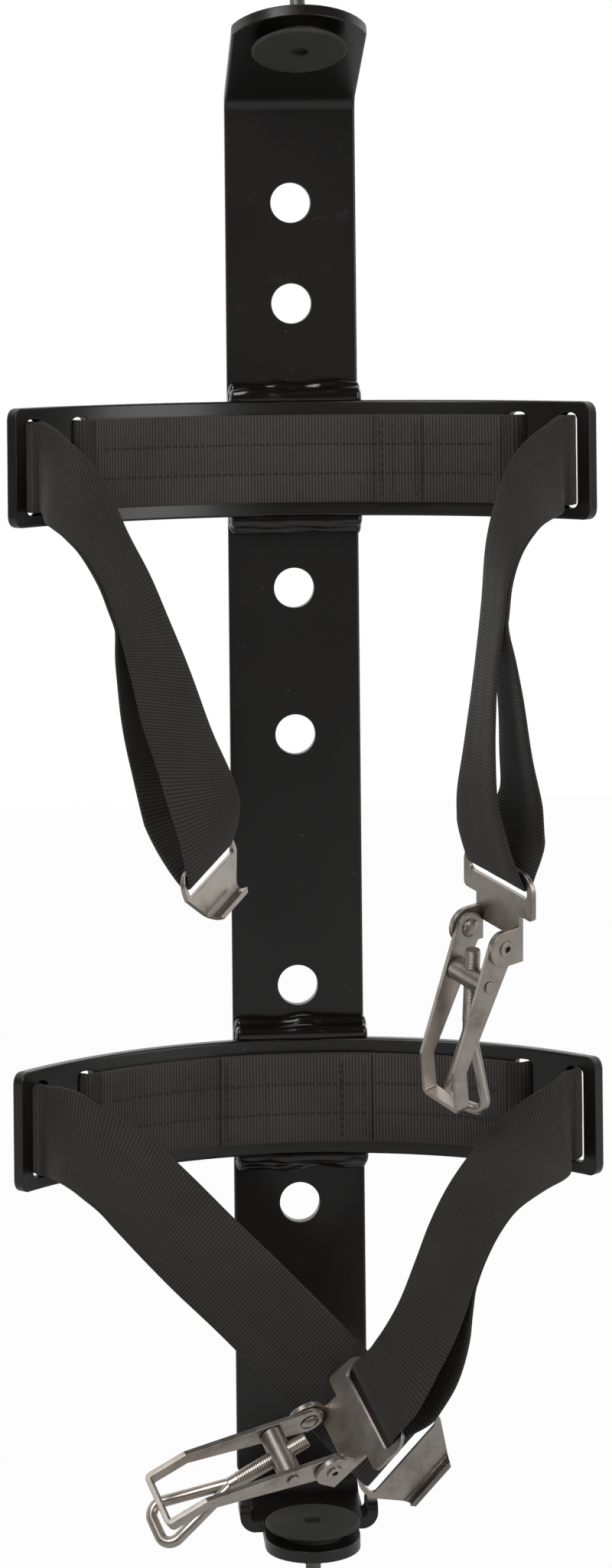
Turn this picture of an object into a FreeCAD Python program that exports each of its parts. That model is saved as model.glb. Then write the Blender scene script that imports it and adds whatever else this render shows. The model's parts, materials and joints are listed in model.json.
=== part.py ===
"""Fire extinguisher bracket: bent bar backbone, two slotted cradles, webbing straps and latches.

Millimetres. X is to the right, -Y out of the wall towards the user, +Z up. Y = 0 is the wall
face of the backbone, and Z = 0 lies midway between its two middle mounting holes.
"""
import FreeCAD, Part
import math
import os
from FreeCAD import Placement, Rotation, Vector

os.makedirs("parts", exist_ok=True)

# Backbone
BAR_WIDTH = 57.0
BAR_THICKNESS = 4.76
BEND_RADIUS = 6.0
BAR_TOP = 240.5
BAR_BOTTOM = -356.0
EDGE_ROUND = 0.9
HOLE_DIAMETER = 17.5
TOP_PAIR_HEIGHT = 178.1
TOP_PAIR_SPACING = 44.0
MIDDLE_PAIR_SPACING = 64.0
LOWER_PAIR_HEIGHT = -188.75
LOWER_PAIR_SPACING = 94.8

# Top tab, bent forward and up
TAB_BEND_ANGLE = 67.5
TAB_LENGTH = 79.4
TAB_TIP_RADIUS = 30.5

# Foot, bent forward
FOOT_REACH = 80.0
FOOT_NECK_WIDTH = 48.0
FOOT_NOSE_WIDTH = 40.0
EAR_SPAN = 59.0
EAR_LENGTH = 14.0
EAR_REACH = 41.0
EAR_RISE = 6.5
EAR_BEND_RADIUS = 2.0
EAR_CORNER_RADIUS = 4.0

# Bumpers with their screws and nuts
BUMPER_DIAMETER = 40.0
BUMPER_RIM = 2.2
BUMPER_CHAMFER = 0.73
BUMPER_BOSS_DIAMETER = 25.0
BUMPER_BOSS_HEIGHT = 4.3
BUMPER_EYE_DIAMETER = 7.5
SCREW_DIAMETER = 6.35
SCREW_HEAD_DIAMETER = 11.0
SCREW_HEAD_HEIGHT = 2.6
SCREW_SOCKET_RADIUS = 3.0
SCREW_SOCKET_DEPTH = 1.3
SCREW_TAIL = 15.0
NUT_ACROSS_FLATS = 11.1
NUT_HEIGHT = 5.6
NUT_CHAMFER = 0.7
TAB_BUMPER_REACH = 57.0

# Cradles
CRADLE_HEIGHT = 50.0
CRADLE_RADIUS = 160.0
CRADLE_HALF_ANGLE = 48.7
CRADLE_CORNER_RADIUS = 4.5
UPPER_CRADLE_HEIGHT = 89.0
LOWER_CRADLE_HEIGHT = -187.5
SPACER_THICKNESS = 6.0
SPACER_HEIGHT = 56.0
WELD_LEG = 5.6
WELD_FULLNESS = 0.62
WELD_END_GAP = 0.2
SLOT_WIDTH = 9.0
SLOT_HEIGHT = 40.5
SLOT_CORNER_RADIUS = 3.0
INNER_SLOT_OFFSET = 99.4
SLOT_BAR_WIDTH = 16.5

# Webbing
WEB_WIDTH = 38.0
WEB_THICKNESS = 1.5
LAYER_GAP = 0.15
STRAP_STEPS = 2
LOOP_STEPS = 6
PAD_END_GAP = 1.5
PAD_JOIN_GAP = 0.2

# Arc lengths between which each pad's ends lap
UPPER_LAP = (36.0, 56.0)
LOWER_LAP = (-36.0, 31.0)

# Way of the webbing in and out of a pair of slots: arc length from the slot's centre, then depth
# behind the cradle's face
INNER_SLOT_WAY = [(-2.6, -1.0), (-0.4, 2.4), (1.7, 5.2)]
OUTER_SLOT_WAY = [(-1.9, 5.4), (-0.5, 2.4), (0.4, -1.5), (0.2, -6.0)]

# Latches
PIVOT_RIVET_DIAMETER = 5.0
RIVET_ROLL_DIAMETER = 6.6
RIVET_ROLL_HEIGHT = 0.8
RIVET_WELL_DIAMETER = 2.8
LATCH_STEEL = 2.0
EAR_OUTER_RADIUS = 7.8
EAR_GAP = 25.0
FLOOR_DEPTH = 8.4
FLOOR_END = -2.0
BASE_WIDTH = 46.0
BASE_SHOULDER = 13.0
BASE_SLOT_EDGE = 21.5
STRAP_SLOT_LENGTH = 39.2
STRAP_SLOT_WIDTH = 6.5
STRAP_SLOT_ROUND = 2.17
STRAP_BAR_WIDTH = 4.5
STRAP_BAR_CORNER = 8.0
HANDLE_CLEARANCE = 0.3
HANDLE_EYE_RADIUS = 6.5
HANDLE_STRAIGHT = 55.0
HANDLE_KINK_ANGLE = 28.0
HANDLE_TIP = 18.0
HANDLE_TIP_DEPTH = 6.0
HANDLE_CORNER_RADIUS = 2.6
RIVET_DOME_RADIUS = 4.0
RIVET_DOME_HEIGHT = 1.4
RUNNING_CLEARANCE = 0.05
TRUNNION_DIAMETER = 9.8
TRUNNION_REACH = 17.5
TRUNNION_PIN_DIAMETER = 4.0
TRUNNION_HEAD_DIAMETER = 5.0
TRUNNION_HEAD_HEIGHT = 0.7
TRUNNION_SIDE_GAP = 0.3
BOLT_DIAMETER = 6.0
BOLT_TAIL = 12.0
BOLT_SHANK = 24.0
LOOP_LENGTH = 36.0
LOOP_WIDTH = 26.0
LOOP_WIRE_DIAMETER = 4.6
LOOP_CORNER_RADIUS = 5.0

# Hook plates
HOOK_PLATE_WIDTH = 43.6
HOOK_LIP_WIDTH = 21.0
HOOK_FLAT = 10.5
HOOK_CURL_RADIUS = 3.0
HOOK_CURL_ANGLE = 100.0
HOOK_LIP = 2.0

# Strap loops round the steel
LOOP_CLEARANCE = 0.5
LOOP_OPENING_ANGLE = 22.0

CRADLE_BACK = BAR_THICKNESS + SPACER_THICKNESS
CRADLE_FRONT = CRADLE_BACK + BAR_THICKNESS
CRADLE_AXIS_Y = -(CRADLE_FRONT + CRADLE_RADIUS)


def block(x, y, z):
    """Box between the low and high values of each axis."""
    return Part.makeBox(x[1] - x[0], y[1] - y[0], z[1] - z[0], Vector(x[0], y[0], z[0]))


def prism(points, way):
    """Straight-sided solid: a closed outline pushed along a vector."""
    face = Part.Face(Part.makePolygon(points + points[:1]))
    return face.extrude(way)


def hexagon(radius, first, z):
    """Corners of a hexagon about Z, the first at an angle in degrees."""
    angles = [math.radians(first + 60 * i) for i in range(6)]
    return [Vector(radius * math.cos(angle), radius * math.sin(angle), z) for angle in angles]


def edges_along(shape, axis, length=None):
    """Straight edges that run along an axis, of one length if that is given."""
    found = []
    for edge in shape.Edges:
        if len(edge.Vertexes) != 2:
            continue
        run = edge.Vertexes[1].Point - edge.Vertexes[0].Point
        if run.Length < 1e-6 or abs(abs(run.normalize().dot(axis)) - 1) > 1e-6:
            continue
        if length is None or abs(edge.Length - length) < 1e-3:
            found.append(edge)
    return found


def frame(origin, across, along, front):
    """Placement with X across, Y along and Z to the front."""
    return Placement(origin, Rotation(across, along, front, "YXZ"))


def save(shape, name):
    """Write one node, in the part's own frame."""
    shape.exportStep("parts/%s.step" % name)
    solids = shape.Solids
    print("%-24s solids %d valid %s volume %.0f" % (name, len(solids), shape.isValid(), shape.Volume))


# Backbone

def bar_section(width, z):
    """Cross-section of the bar at a height, as a face."""
    half = width / 2
    corners = [Vector(-half, -BAR_THICKNESS, z), Vector(half, -BAR_THICKNESS, z),
               Vector(half, 0, z), Vector(-half, 0, z)]
    return Part.Face(Part.makePolygon(corners + corners[:1]))


def bend_centre(z):
    return Vector(0, -(BAR_THICKNESS + BEND_RADIUS), z)


def top_tab():
    """Round-ended tab, drawn straight up from the bar and then bent forward."""
    half = BAR_WIDTH / 2
    corner = TAB_LENGTH - TAB_TIP_RADIUS + math.sqrt(TAB_TIP_RADIUS ** 2 - half ** 2)
    left, right = Vector(-half, 0, BAR_TOP), Vector(half, 0, BAR_TOP)
    left_end, right_end = Vector(-half, 0, BAR_TOP + corner), Vector(half, 0, BAR_TOP + corner)
    tip = Vector(0, 0, BAR_TOP + TAB_LENGTH)
    outline = Part.Wire([Part.LineSegment(left, right).toShape(),
                         Part.LineSegment(right, right_end).toShape(),
                         Part.Arc(right_end, tip, left_end).toShape(),
                         Part.LineSegment(left_end, left).toShape()])
    tab = Part.Face(outline).extrude(Vector(0, -BAR_THICKNESS, 0))
    tab.rotate(bend_centre(BAR_TOP), Vector(1, 0, 0), TAB_BEND_ANGLE)
    return tab


def foot_ear(side):
    """Ear whose outer edge turns up from the foot plate."""
    top = BAR_BOTTOM - BEND_RADIUS
    bottom = top - BAR_THICKNESS
    outer = EAR_SPAN / 2
    inner = outer - BAR_THICKNESS
    turn = inner - EAR_BEND_RADIUS
    big = EAR_BEND_RADIUS + BAR_THICKNESS
    cos45 = math.cos(math.radians(45))
    root = FOOT_NOSE_WIDTH / 2 - EAR_BEND_RADIUS
    centre = top + EAR_BEND_RADIUS

    def at(x, z):
        return Vector(side * x, -(EAR_REACH - EAR_LENGTH), z)

    wire = Part.Wire([
        Part.LineSegment(at(root, bottom), at(turn, bottom)).toShape(),
        Part.Arc(at(turn, bottom), at(turn + big * cos45, centre - big * cos45),
                 at(outer, centre)).toShape(),
        Part.LineSegment(at(outer, centre), at(outer, top + EAR_RISE)).toShape(),
        Part.LineSegment(at(outer, top + EAR_RISE), at(inner, top + EAR_RISE)).toShape(),
        Part.LineSegment(at(inner, top + EAR_RISE), at(inner, centre)).toShape(),
        Part.Arc(at(inner, centre),
                 at(turn + EAR_BEND_RADIUS * cos45, centre - EAR_BEND_RADIUS * cos45),
                 at(turn, top)).toShape(),
        Part.LineSegment(at(turn, top), at(root, top)).toShape(),
        Part.LineSegment(at(root, top), at(root, bottom)).toShape()])
    ear = Part.Face(wire).extrude(Vector(0, -EAR_LENGTH, 0))
    tips = [e for e in edges_along(ear, Vector(1, 0, 0)) if e.CenterOfMass.z > top + EAR_RISE - 0.01]
    return ear.makeFillet(EAR_CORNER_RADIUS, tips)


def foot():
    """Flat foot plate with its nose and ears."""
    top = BAR_BOTTOM - BEND_RADIUS
    z = (top - BAR_THICKNESS, top)
    start = -(BAR_THICKNESS + BEND_RADIUS)
    nose = FOOT_NOSE_WIDTH / 2
    nose_centre = -(FOOT_REACH - nose)
    neck = block((-FOOT_NECK_WIDTH / 2, FOOT_NECK_WIDTH / 2), (-EAR_REACH, start), z)
    plate = neck.fuse(block((-nose, nose), (nose_centre, start), z))
    tip = Part.makeCylinder(nose, BAR_THICKNESS, Vector(0, nose_centre, z[0]))
    return plate.fuse([tip, foot_ear(1), foot_ear(-1)]).removeSplitter()


def hole_heights():
    pairs = ((TOP_PAIR_HEIGHT, TOP_PAIR_SPACING), (0.0, MIDDLE_PAIR_SPACING),
             (LOWER_PAIR_HEIGHT, LOWER_PAIR_SPACING))
    return [height + side * spacing / 2 for height, spacing in pairs for side in (1, -1)]


def tab_point(reach):
    """Point on the underside of the tab, and the tab's normal away from the bumper."""
    spin = Rotation(Vector(1, 0, 0), TAB_BEND_ANGLE)
    centre = bend_centre(BAR_TOP)
    flat = Vector(0, -BAR_THICKNESS, BAR_TOP + reach)
    return centre + spin.multVec(flat - centre), spin.multVec(Vector(0, 1, 0))


def foot_point():
    """Centre of the bumper seat on top of the foot."""
    return Vector(0, -(FOOT_REACH - FOOT_NOSE_WIDTH / 2), BAR_BOTTOM - BEND_RADIUS)


def backbone():
    half = BAR_WIDTH / 2
    taper = (BAR_WIDTH - FOOT_NECK_WIDTH) / 2
    outline = [Vector(-half, 0, BAR_TOP), Vector(-half, 0, BAR_BOTTOM + taper),
               Vector(-half + taper, 0, BAR_BOTTOM), Vector(half - taper, 0, BAR_BOTTOM),
               Vector(half, 0, BAR_BOTTOM + taper), Vector(half, 0, BAR_TOP)]
    bar = prism(outline, Vector(0, -BAR_THICKNESS, 0))
    top_bend = bar_section(BAR_WIDTH, BAR_TOP).revolve(bend_centre(BAR_TOP), Vector(1, 0, 0),
                                                       TAB_BEND_ANGLE)
    foot_bend = bar_section(FOOT_NECK_WIDTH, BAR_BOTTOM).revolve(bend_centre(BAR_BOTTOM),
                                                                 Vector(1, 0, 0), -90)
    body = bar.fuse([top_bend, top_tab(), foot_bend, foot()]).removeSplitter()
    long_sides = [e for e in body.Edges if abs(abs(e.CenterOfMass.x) - half) < 0.01]
    body = body.makeFillet(EDGE_ROUND, long_sides)
    drill = HOLE_DIAMETER / 2
    for height in hole_heights():
        body = body.cut(Part.makeCylinder(drill, 4 * BAR_THICKNESS,
                                          Vector(0, BAR_THICKNESS, height), Vector(0, -1, 0)))
    seat, normal = tab_point(TAB_BUMPER_REACH)
    screw_hole = SCREW_DIAMETER / 2
    body = body.cut(Part.makeCylinder(screw_hole, 4 * BAR_THICKNESS,
                                      seat - normal * BAR_THICKNESS, normal))
    return body.cut(Part.makeCylinder(screw_hole, 4 * BAR_THICKNESS,
                                      foot_point() + Vector(0, 0, BAR_THICKNESS),
                                      Vector(0, 0, -1)))


# Bumpers, drawn with the seat at Z = 0, the rubber below and the nut above

def bumper():
    rim, boss = BUMPER_DIAMETER / 2, BUMPER_BOSS_DIAMETER / 2
    eye, head, shank = BUMPER_EYE_DIAMETER / 2, SCREW_HEAD_DIAMETER / 2, SCREW_DIAMETER / 2
    face = -(BUMPER_BOSS_HEIGHT + BUMPER_RIM)
    floor = -(BUMPER_BOSS_HEIGHT - SCREW_HEAD_HEIGHT)
    cup = floor - SCREW_HEAD_HEIGHT
    soft = BUMPER_CHAMFER
    points = [(shank, 0), (boss, 0), (boss, -BUMPER_BOSS_HEIGHT), (rim - soft, -BUMPER_BOSS_HEIGHT),
              (rim, -BUMPER_BOSS_HEIGHT - soft), (rim, face + soft), (rim - soft, face), (eye, face),
              (eye, cup), (head, cup), (head, floor), (shank, floor)]
    corners = [Vector(r, 0, z) for r, z in points]
    return Part.Face(Part.makePolygon(corners + corners[:1])).revolve(Vector(), Vector(0, 0, 1), 360)


def bumper_screw():
    floor = -(BUMPER_BOSS_HEIGHT - SCREW_HEAD_HEIGHT)
    tail = BAR_THICKNESS + SCREW_TAIL
    shank = Part.makeCylinder(SCREW_DIAMETER / 2, tail - floor, Vector(0, 0, floor))
    head = Part.makeCylinder(SCREW_HEAD_DIAMETER / 2, SCREW_HEAD_HEIGHT,
                             Vector(0, 0, floor - SCREW_HEAD_HEIGHT))
    drive = prism(hexagon(SCREW_SOCKET_RADIUS, 0, floor - SCREW_HEAD_HEIGHT),
                  Vector(0, 0, SCREW_SOCKET_DEPTH))
    return shank.fuse(head).cut(drive)


def bumper_nut():
    radius = NUT_ACROSS_FLATS / math.sqrt(3)
    body = prism(hexagon(radius, 30, BAR_THICKNESS), Vector(0, 0, NUT_HEIGHT))
    cone = Part.makeCone(radius + 4 * NUT_CHAMFER, radius - NUT_CHAMFER, NUT_HEIGHT,
                         Vector(0, 0, BAR_THICKNESS))
    return body.common(cone).cut(Part.makeCylinder(SCREW_DIAMETER / 2, 4 * NUT_HEIGHT))


def bumper_places():
    side = Vector(1, 0, 0)
    seats = {"top": tab_point(TAB_BUMPER_REACH), "foot": (foot_point(), Vector(0, 0, -1))}
    return {name: frame(seat, side, normal.cross(side), normal) for name, (seat, normal) in seats.items()}


# Cradles

def cradle_point(height, offset, depth):
    """Point by its arc length from the middle and its depth behind the front face."""
    angle = offset / CRADLE_RADIUS
    radius = CRADLE_RADIUS + depth
    return Vector(radius * math.sin(angle), CRADLE_AXIS_Y + radius * math.cos(angle), height)


def arc_band(height, tall, inner, outer, start, end):
    """Curved band between two radii and two arc lengths, centred on a height."""
    angles = [offset / CRADLE_RADIUS for offset in (start, end)]
    sweep = math.degrees(angles[1] - angles[0])
    low = Vector(0, CRADLE_AXIS_Y, height - tall / 2)
    big = Part.makeCylinder(outer, tall, low, Vector(0, 0, 1), sweep)
    small = Part.makeCylinder(inner, 2 * tall, low - Vector(0, 0, tall / 2), Vector(0, 0, 1), 360)
    band = big.cut(small)
    band.rotate(low, Vector(0, 0, 1), 90 - math.degrees(angles[1]))
    return band


def slot_cutter(height, offset):
    """Upright slot with round corners, cut square through the cradle."""
    deep = 4 * BAR_THICKNESS
    tool = block((-SLOT_WIDTH / 2, SLOT_WIDTH / 2), (-deep / 2, deep / 2),
                 (-SLOT_HEIGHT / 2, SLOT_HEIGHT / 2))
    tool = tool.makeFillet(SLOT_CORNER_RADIUS, edges_along(tool, Vector(0, 1, 0)))
    tool.rotate(Vector(), Vector(0, 0, 1), -math.degrees(offset / CRADLE_RADIUS))
    tool.translate(cradle_point(height, offset, BAR_THICKNESS / 2))
    return tool


def slot_offsets():
    """Arc lengths of the slot centres: inner, then outer."""
    return INNER_SLOT_OFFSET, INNER_SLOT_OFFSET + SLOT_WIDTH + SLOT_BAR_WIDTH


def corner_cutter(height, offset, up):
    """What is cut away to round one end corner of a cradle."""
    radius, deep = CRADLE_CORNER_RADIUS, 4 * BAR_THICKNESS
    outward = math.copysign(1, offset)
    reach = sorted((0, outward * 2 * radius))
    tall = sorted((0, up * 2 * radius))
    tool = block(reach, (-deep / 2, deep / 2), tall)
    tool = tool.cut(Part.makeCylinder(radius, 2 * deep, Vector(0, -deep, 0), Vector(0, 1, 0)))
    centre = offset - outward * radius
    tool.rotate(Vector(), Vector(0, 0, 1), -math.degrees(centre / CRADLE_RADIUS))
    tool.translate(cradle_point(height + up * (CRADLE_HEIGHT / 2 - radius), centre, BAR_THICKNESS / 2))
    return tool


def cradle(height):
    reach = math.radians(CRADLE_HALF_ANGLE) * CRADLE_RADIUS
    body = arc_band(height, CRADLE_HEIGHT, CRADLE_RADIUS, CRADLE_RADIUS + BAR_THICKNESS, -reach, reach)
    body = body.makeFillet(EDGE_ROUND, [e for e in body.Edges if e.Length > CRADLE_RADIUS])
    for side in (1, -1):
        slots = [slot_cutter(height, side * offset) for offset in slot_offsets()]
        corners = [corner_cutter(height, side * reach, up) for up in (1, -1)]
        body = body.cut(slots + corners)
    return body


def spacer(height):
    half = BAR_WIDTH / 2
    return block((-half, half), (-CRADLE_BACK, -BAR_THICKNESS),
                 (height - SPACER_HEIGHT / 2, height + SPACER_HEIGHT / 2))


def bead(corner_y, corner_z, up):
    """Fillet weld lying in a corner: along the wall behind it and out over the ledge below it."""
    half = BAR_WIDTH / 2 - WELD_END_GAP
    start = Vector(-half, corner_y, corner_z)
    high = start + Vector(0, 0, up * WELD_LEG)
    out = start + Vector(0, -WELD_LEG, 0)
    full = WELD_LEG * WELD_FULLNESS
    bulge = start + Vector(0, -full, up * full)
    wire = Part.Wire([Part.LineSegment(start, high).toShape(), Part.Arc(high, bulge, out).toShape(),
                      Part.LineSegment(out, start).toShape()])
    return Part.Face(wire).extrude(Vector(2 * half, 0, 0))


def cradle_welds(height):
    """Beads from bar to spacer and from spacer to cradle, above and below."""
    beads = []
    for up in (1, -1):
        beads.append(bead(-BAR_THICKNESS, height + up * SPACER_HEIGHT / 2, up))
        beads.append(bead(-CRADLE_BACK, height + up * CRADLE_HEIGHT / 2, up))
    return Part.makeCompound(beads)


def pad_end():
    """Arc length at which the pad stops and the strap starts."""
    return INNER_SLOT_OFFSET - SLOT_WIDTH / 2 - PAD_END_GAP


def pad(height, lap):
    """Two layers of webbing sewn across the front of a cradle, and a third where its ends lap."""
    inner = CRADLE_RADIUS - 2 * WEB_THICKNESS
    sheet = arc_band(height, WEB_WIDTH, inner, CRADLE_RADIUS, -pad_end(), pad_end())
    return sheet.fuse(arc_band(height, WEB_WIDTH, inner - WEB_THICKNESS, inner, *lap))


# Straps

def through(points, steps):
    """Smooth curve through points, as a list with the given steps in each span."""
    ends = [points[0] * 2 - points[1]] + points + [points[-1] * 2 - points[-2]]
    found = []
    for i in range(1, len(ends) - 2):
        a, b, c, d = ends[i - 1:i + 3]
        for k in range(steps):
            t = k / steps
            found.append((b * 2 + (c - a) * t + (a * 2 - b * 5 + c * 4 - d) * t ** 2
                          + (b * 3 - a - c * 3 + d) * t ** 3) * 0.5)
    return found + [points[-1]]


def slot_route(side, height):
    """Route of the doubled webbing: pad end, inner slot, behind the bar, outer slot, front."""
    stack = WEB_THICKNESS + LAYER_GAP
    behind = BAR_THICKNESS + stack + LAYER_GAP
    inner, outer = slot_offsets()
    half = SLOT_WIDTH / 2
    spots = [(pad_end() + PAD_JOIN_GAP, -stack)]
    spots += [(inner + step, depth) for step, depth in INNER_SLOT_WAY]
    spots += [(inner + half, behind), (inner + half + SLOT_BAR_WIDTH / 2, behind), (outer - half, behind)]
    spots += [(outer + step, depth) for step, depth in OUTER_SLOT_WAY]
    return [cradle_point(height, side * offset, depth) for offset, depth in spots]


def loop_turn(edge, along, front):
    """Half turn of webbing round a plate's strap bar, from its front to its back."""
    radius = LATCH_STEEL / 2 + LOOP_CLEARANCE + WEB_THICKNESS / 2
    turn = []
    for i in range(LOOP_STEPS + 1):
        angle = math.radians(LOOP_OPENING_ANGLE + i * (180 - 2 * LOOP_OPENING_ANGLE) / LOOP_STEPS)
        turn.append(edge + (front * math.cos(angle) + along * math.sin(angle)) * radius)
    return turn


def ribbon(centres, widths, normals):
    """One layer of webbing through its sections, as a closed solid."""
    sections = []
    for centre, width, normal in zip(centres, widths, normals):
        across = width * (WEB_WIDTH / 2)
        thick = normal * (WEB_THICKNESS / 2)
        corners = [centre + across + thick, centre + across - thick,
                   centre - across - thick, centre - across + thick]
        sections.append(Part.makePolygon(corners + corners[:1]))
    return Part.makeLoft(sections, True, True)


def strap(side, height, hang, plate):
    """Webbing from a pad through both slots, down round a plate and back again.

    hang lists the free stations, each with its centre, its width direction and the space
    between the two layers there. plate is the placement of the latch base or hook plate.
    """
    stack = WEB_THICKNESS + LAYER_GAP
    across = plate.Rotation.multVec(Vector(1, 0, 0))
    along = plate.Rotation.multVec(Vector(0, 1, 0))
    front = plate.Rotation.multVec(Vector(0, 0, 1))
    fixed = slot_route(side, height)
    up = Vector(0, 0, 1)
    centres = through(fixed + [Vector(*spot) for spot, way, space in hang], STRAP_STEPS)
    ways = through([up] * len(fixed) + [Vector(*way) for spot, way, space in hang], STRAP_STEPS)
    spaces = through([Vector()] * len(fixed) + [Vector(space, 0, 0) for spot, way, space in hang],
                     STRAP_STEPS)
    widths = [way.normalize() for way in ways]
    front_layer, back_layer, facing = [], [], []
    for i, centre in enumerate(centres):
        run = centres[min(i + 1, len(centres) - 1)] - centres[max(i - 1, 0)]
        normal = run.cross(widths[i]).normalize() * side
        facing.append(normal)
        front_layer.append(centre - normal * (stack / 2))
        back_layer.append(centre + normal * (stack / 2 + max(spaces[i].x, 0)))
    turn = loop_turn(plate.Base, along, front)
    bar_way = across * math.copysign(1, widths[-1].dot(across))
    inward = [(plate.Base - point).normalize() for point in turn]
    return ribbon(front_layer + turn + back_layer[::-1],
                  widths + [bar_way] * len(turn) + widths[::-1],
                  facing + inward + [normal * -1 for normal in facing[::-1]])


# Steel plates, latches and hooks, drawn with the strap bar's inner edge at the origin,
# X across, Y from the strap towards the hook end and Z to the front

def strap_end(width, corner):
    """Strap bar and slot at the end of a plate, as an outline block and its cutter."""
    bar = block((-width / 2, width / 2), (-STRAP_BAR_WIDTH, STRAP_SLOT_WIDTH),
                (-LATCH_STEEL / 2, LATCH_STEEL / 2))
    outer = [e for e in edges_along(bar, Vector(0, 0, 1)) if e.CenterOfMass.y < 0]
    bar = bar.makeFillet(corner, outer)
    slot = block((-STRAP_SLOT_LENGTH / 2, STRAP_SLOT_LENGTH / 2), (0, STRAP_SLOT_WIDTH),
                 (-LATCH_STEEL, LATCH_STEEL))
    slot = slot.makeFillet(STRAP_SLOT_ROUND, edges_along(slot, Vector(0, 0, 1)))
    return bar, slot


def pivot_point():
    """The handle's pivot in the plate's own frame."""
    return Vector(0, STRAP_SLOT_WIDTH + BASE_SLOT_EDGE, FLOOR_DEPTH - LATCH_STEEL / 2)


def latch_base():
    """Slotted plate whose two ears turn up beside the handle."""
    pivot = pivot_point()
    bar, slot = strap_end(BASE_WIDTH, STRAP_BAR_CORNER)
    z = (-LATCH_STEEL / 2, LATCH_STEEL / 2)
    half = EAR_GAP / 2 + LATCH_STEEL
    shoulder = pivot.y - BASE_SHOULDER
    body = block((-BASE_WIDTH / 2, BASE_WIDTH / 2), (STRAP_SLOT_WIDTH, shoulder), z)
    body = body.makeFillet(LATCH_STEEL, [e for e in edges_along(body, Vector(0, 0, 1))
                                         if e.CenterOfMass.y > STRAP_SLOT_WIDTH])
    floor = block((-half, half), (STRAP_SLOT_WIDTH, pivot.y + FLOOR_END), z)
    plate = bar.fuse([body, floor]).cut(slot)
    for inside in (EAR_GAP / 2, -half):
        start = Vector(inside, pivot.y, pivot.z)
        disc = Part.makeCylinder(EAR_OUTER_RADIUS, LATCH_STEEL, start, Vector(1, 0, 0))
        web = block((start.x, start.x + LATCH_STEEL),
                    (pivot.y - EAR_OUTER_RADIUS, pivot.y + EAR_OUTER_RADIUS), (z[0], pivot.z))
        plate = plate.fuse([disc, web])
    hole = Part.makeCylinder(PIVOT_RIVET_DIAMETER / 2, 4 * half, Vector(-2 * half, pivot.y, pivot.z),
                             Vector(1, 0, 0))
    return plate.cut(hole).removeSplitter()


def handle_profile(x):
    """Side outline of a handle arm at one X, pivot at the origin, straight part along Y."""
    kink = math.radians(HANDLE_KINK_ANGLE)
    tip_way = Vector(0, math.cos(kink), -math.sin(kink))
    tip_up = Vector(0, math.sin(kink), math.cos(kink))
    half = HANDLE_TIP_DEPTH / 2
    corner = Vector(x, HANDLE_STRAIGHT, 0)
    end = corner + tip_way * HANDLE_TIP
    miter = Vector(0, math.sin(kink / 2), math.cos(kink / 2)) * (half / math.cos(kink / 2))
    lean = math.atan2(HANDLE_EYE_RADIUS - half, HANDLE_STRAIGHT)
    eye_top = Vector(x, HANDLE_EYE_RADIUS * math.sin(lean), HANDLE_EYE_RADIUS * math.cos(lean))
    eye_low = Vector(x, eye_top.y, -eye_top.z)
    eye_back = Vector(x, -HANDLE_EYE_RADIUS, 0)
    lines = [eye_top, corner + miter, end + tip_up * half, end - tip_up * half, corner - miter, eye_low]
    edges = [Part.LineSegment(a, b).toShape() for a, b in zip(lines, lines[1:])]
    edges.append(Part.Arc(eye_low, eye_back, eye_top).toShape())
    return Part.Face(Part.Wire(edges)), end, tip_way, tip_up


def latch_handle():
    """One strip of steel: two arms joined by a bridge at the finger end."""
    outer = EAR_GAP / 2 - HANDLE_CLEARANCE
    solid, end, tip_way, tip_up = handle_profile(-outer)
    envelope = solid.extrude(Vector(2 * outer, 0, 0))
    envelope = envelope.makeFillet(HANDLE_CORNER_RADIUS, edges_along(envelope, tip_up, HANDLE_TIP_DEPTH))
    inner = outer - LATCH_STEEL
    room = HANDLE_STRAIGHT
    spin = Rotation(Vector(1, 0, 0), -HANDLE_KINK_ANGLE)
    straight = block((-inner, inner), (-room, HANDLE_STRAIGHT), (-room, room))
    bent = block((-inner, inner), (-inner, HANDLE_TIP - LATCH_STEEL), (-room, room))
    bent = bent.makeFillet(HANDLE_CORNER_RADIUS - LATCH_STEEL,
                           [e for e in edges_along(bent, Vector(0, 0, 1)) if e.CenterOfMass.y > 0])
    bent.Placement = Placement(Vector(0, HANDLE_STRAIGHT, 0), spin)
    arms = envelope.cut([straight, bent])
    across = Vector(1, 0, 0)
    eye = PIVOT_RIVET_DIAMETER / 2 + RUNNING_CLEARANCE
    seat = TRUNNION_PIN_DIAMETER / 2 + RUNNING_CLEARANCE
    bores = [Part.makeCylinder(eye, 4 * outer, Vector(-2 * outer, 0, 0), across),
             Part.makeCylinder(seat, 4 * outer, Vector(-2 * outer, TRUNNION_REACH, 0), across)]
    return arms.cut(bores)


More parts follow.
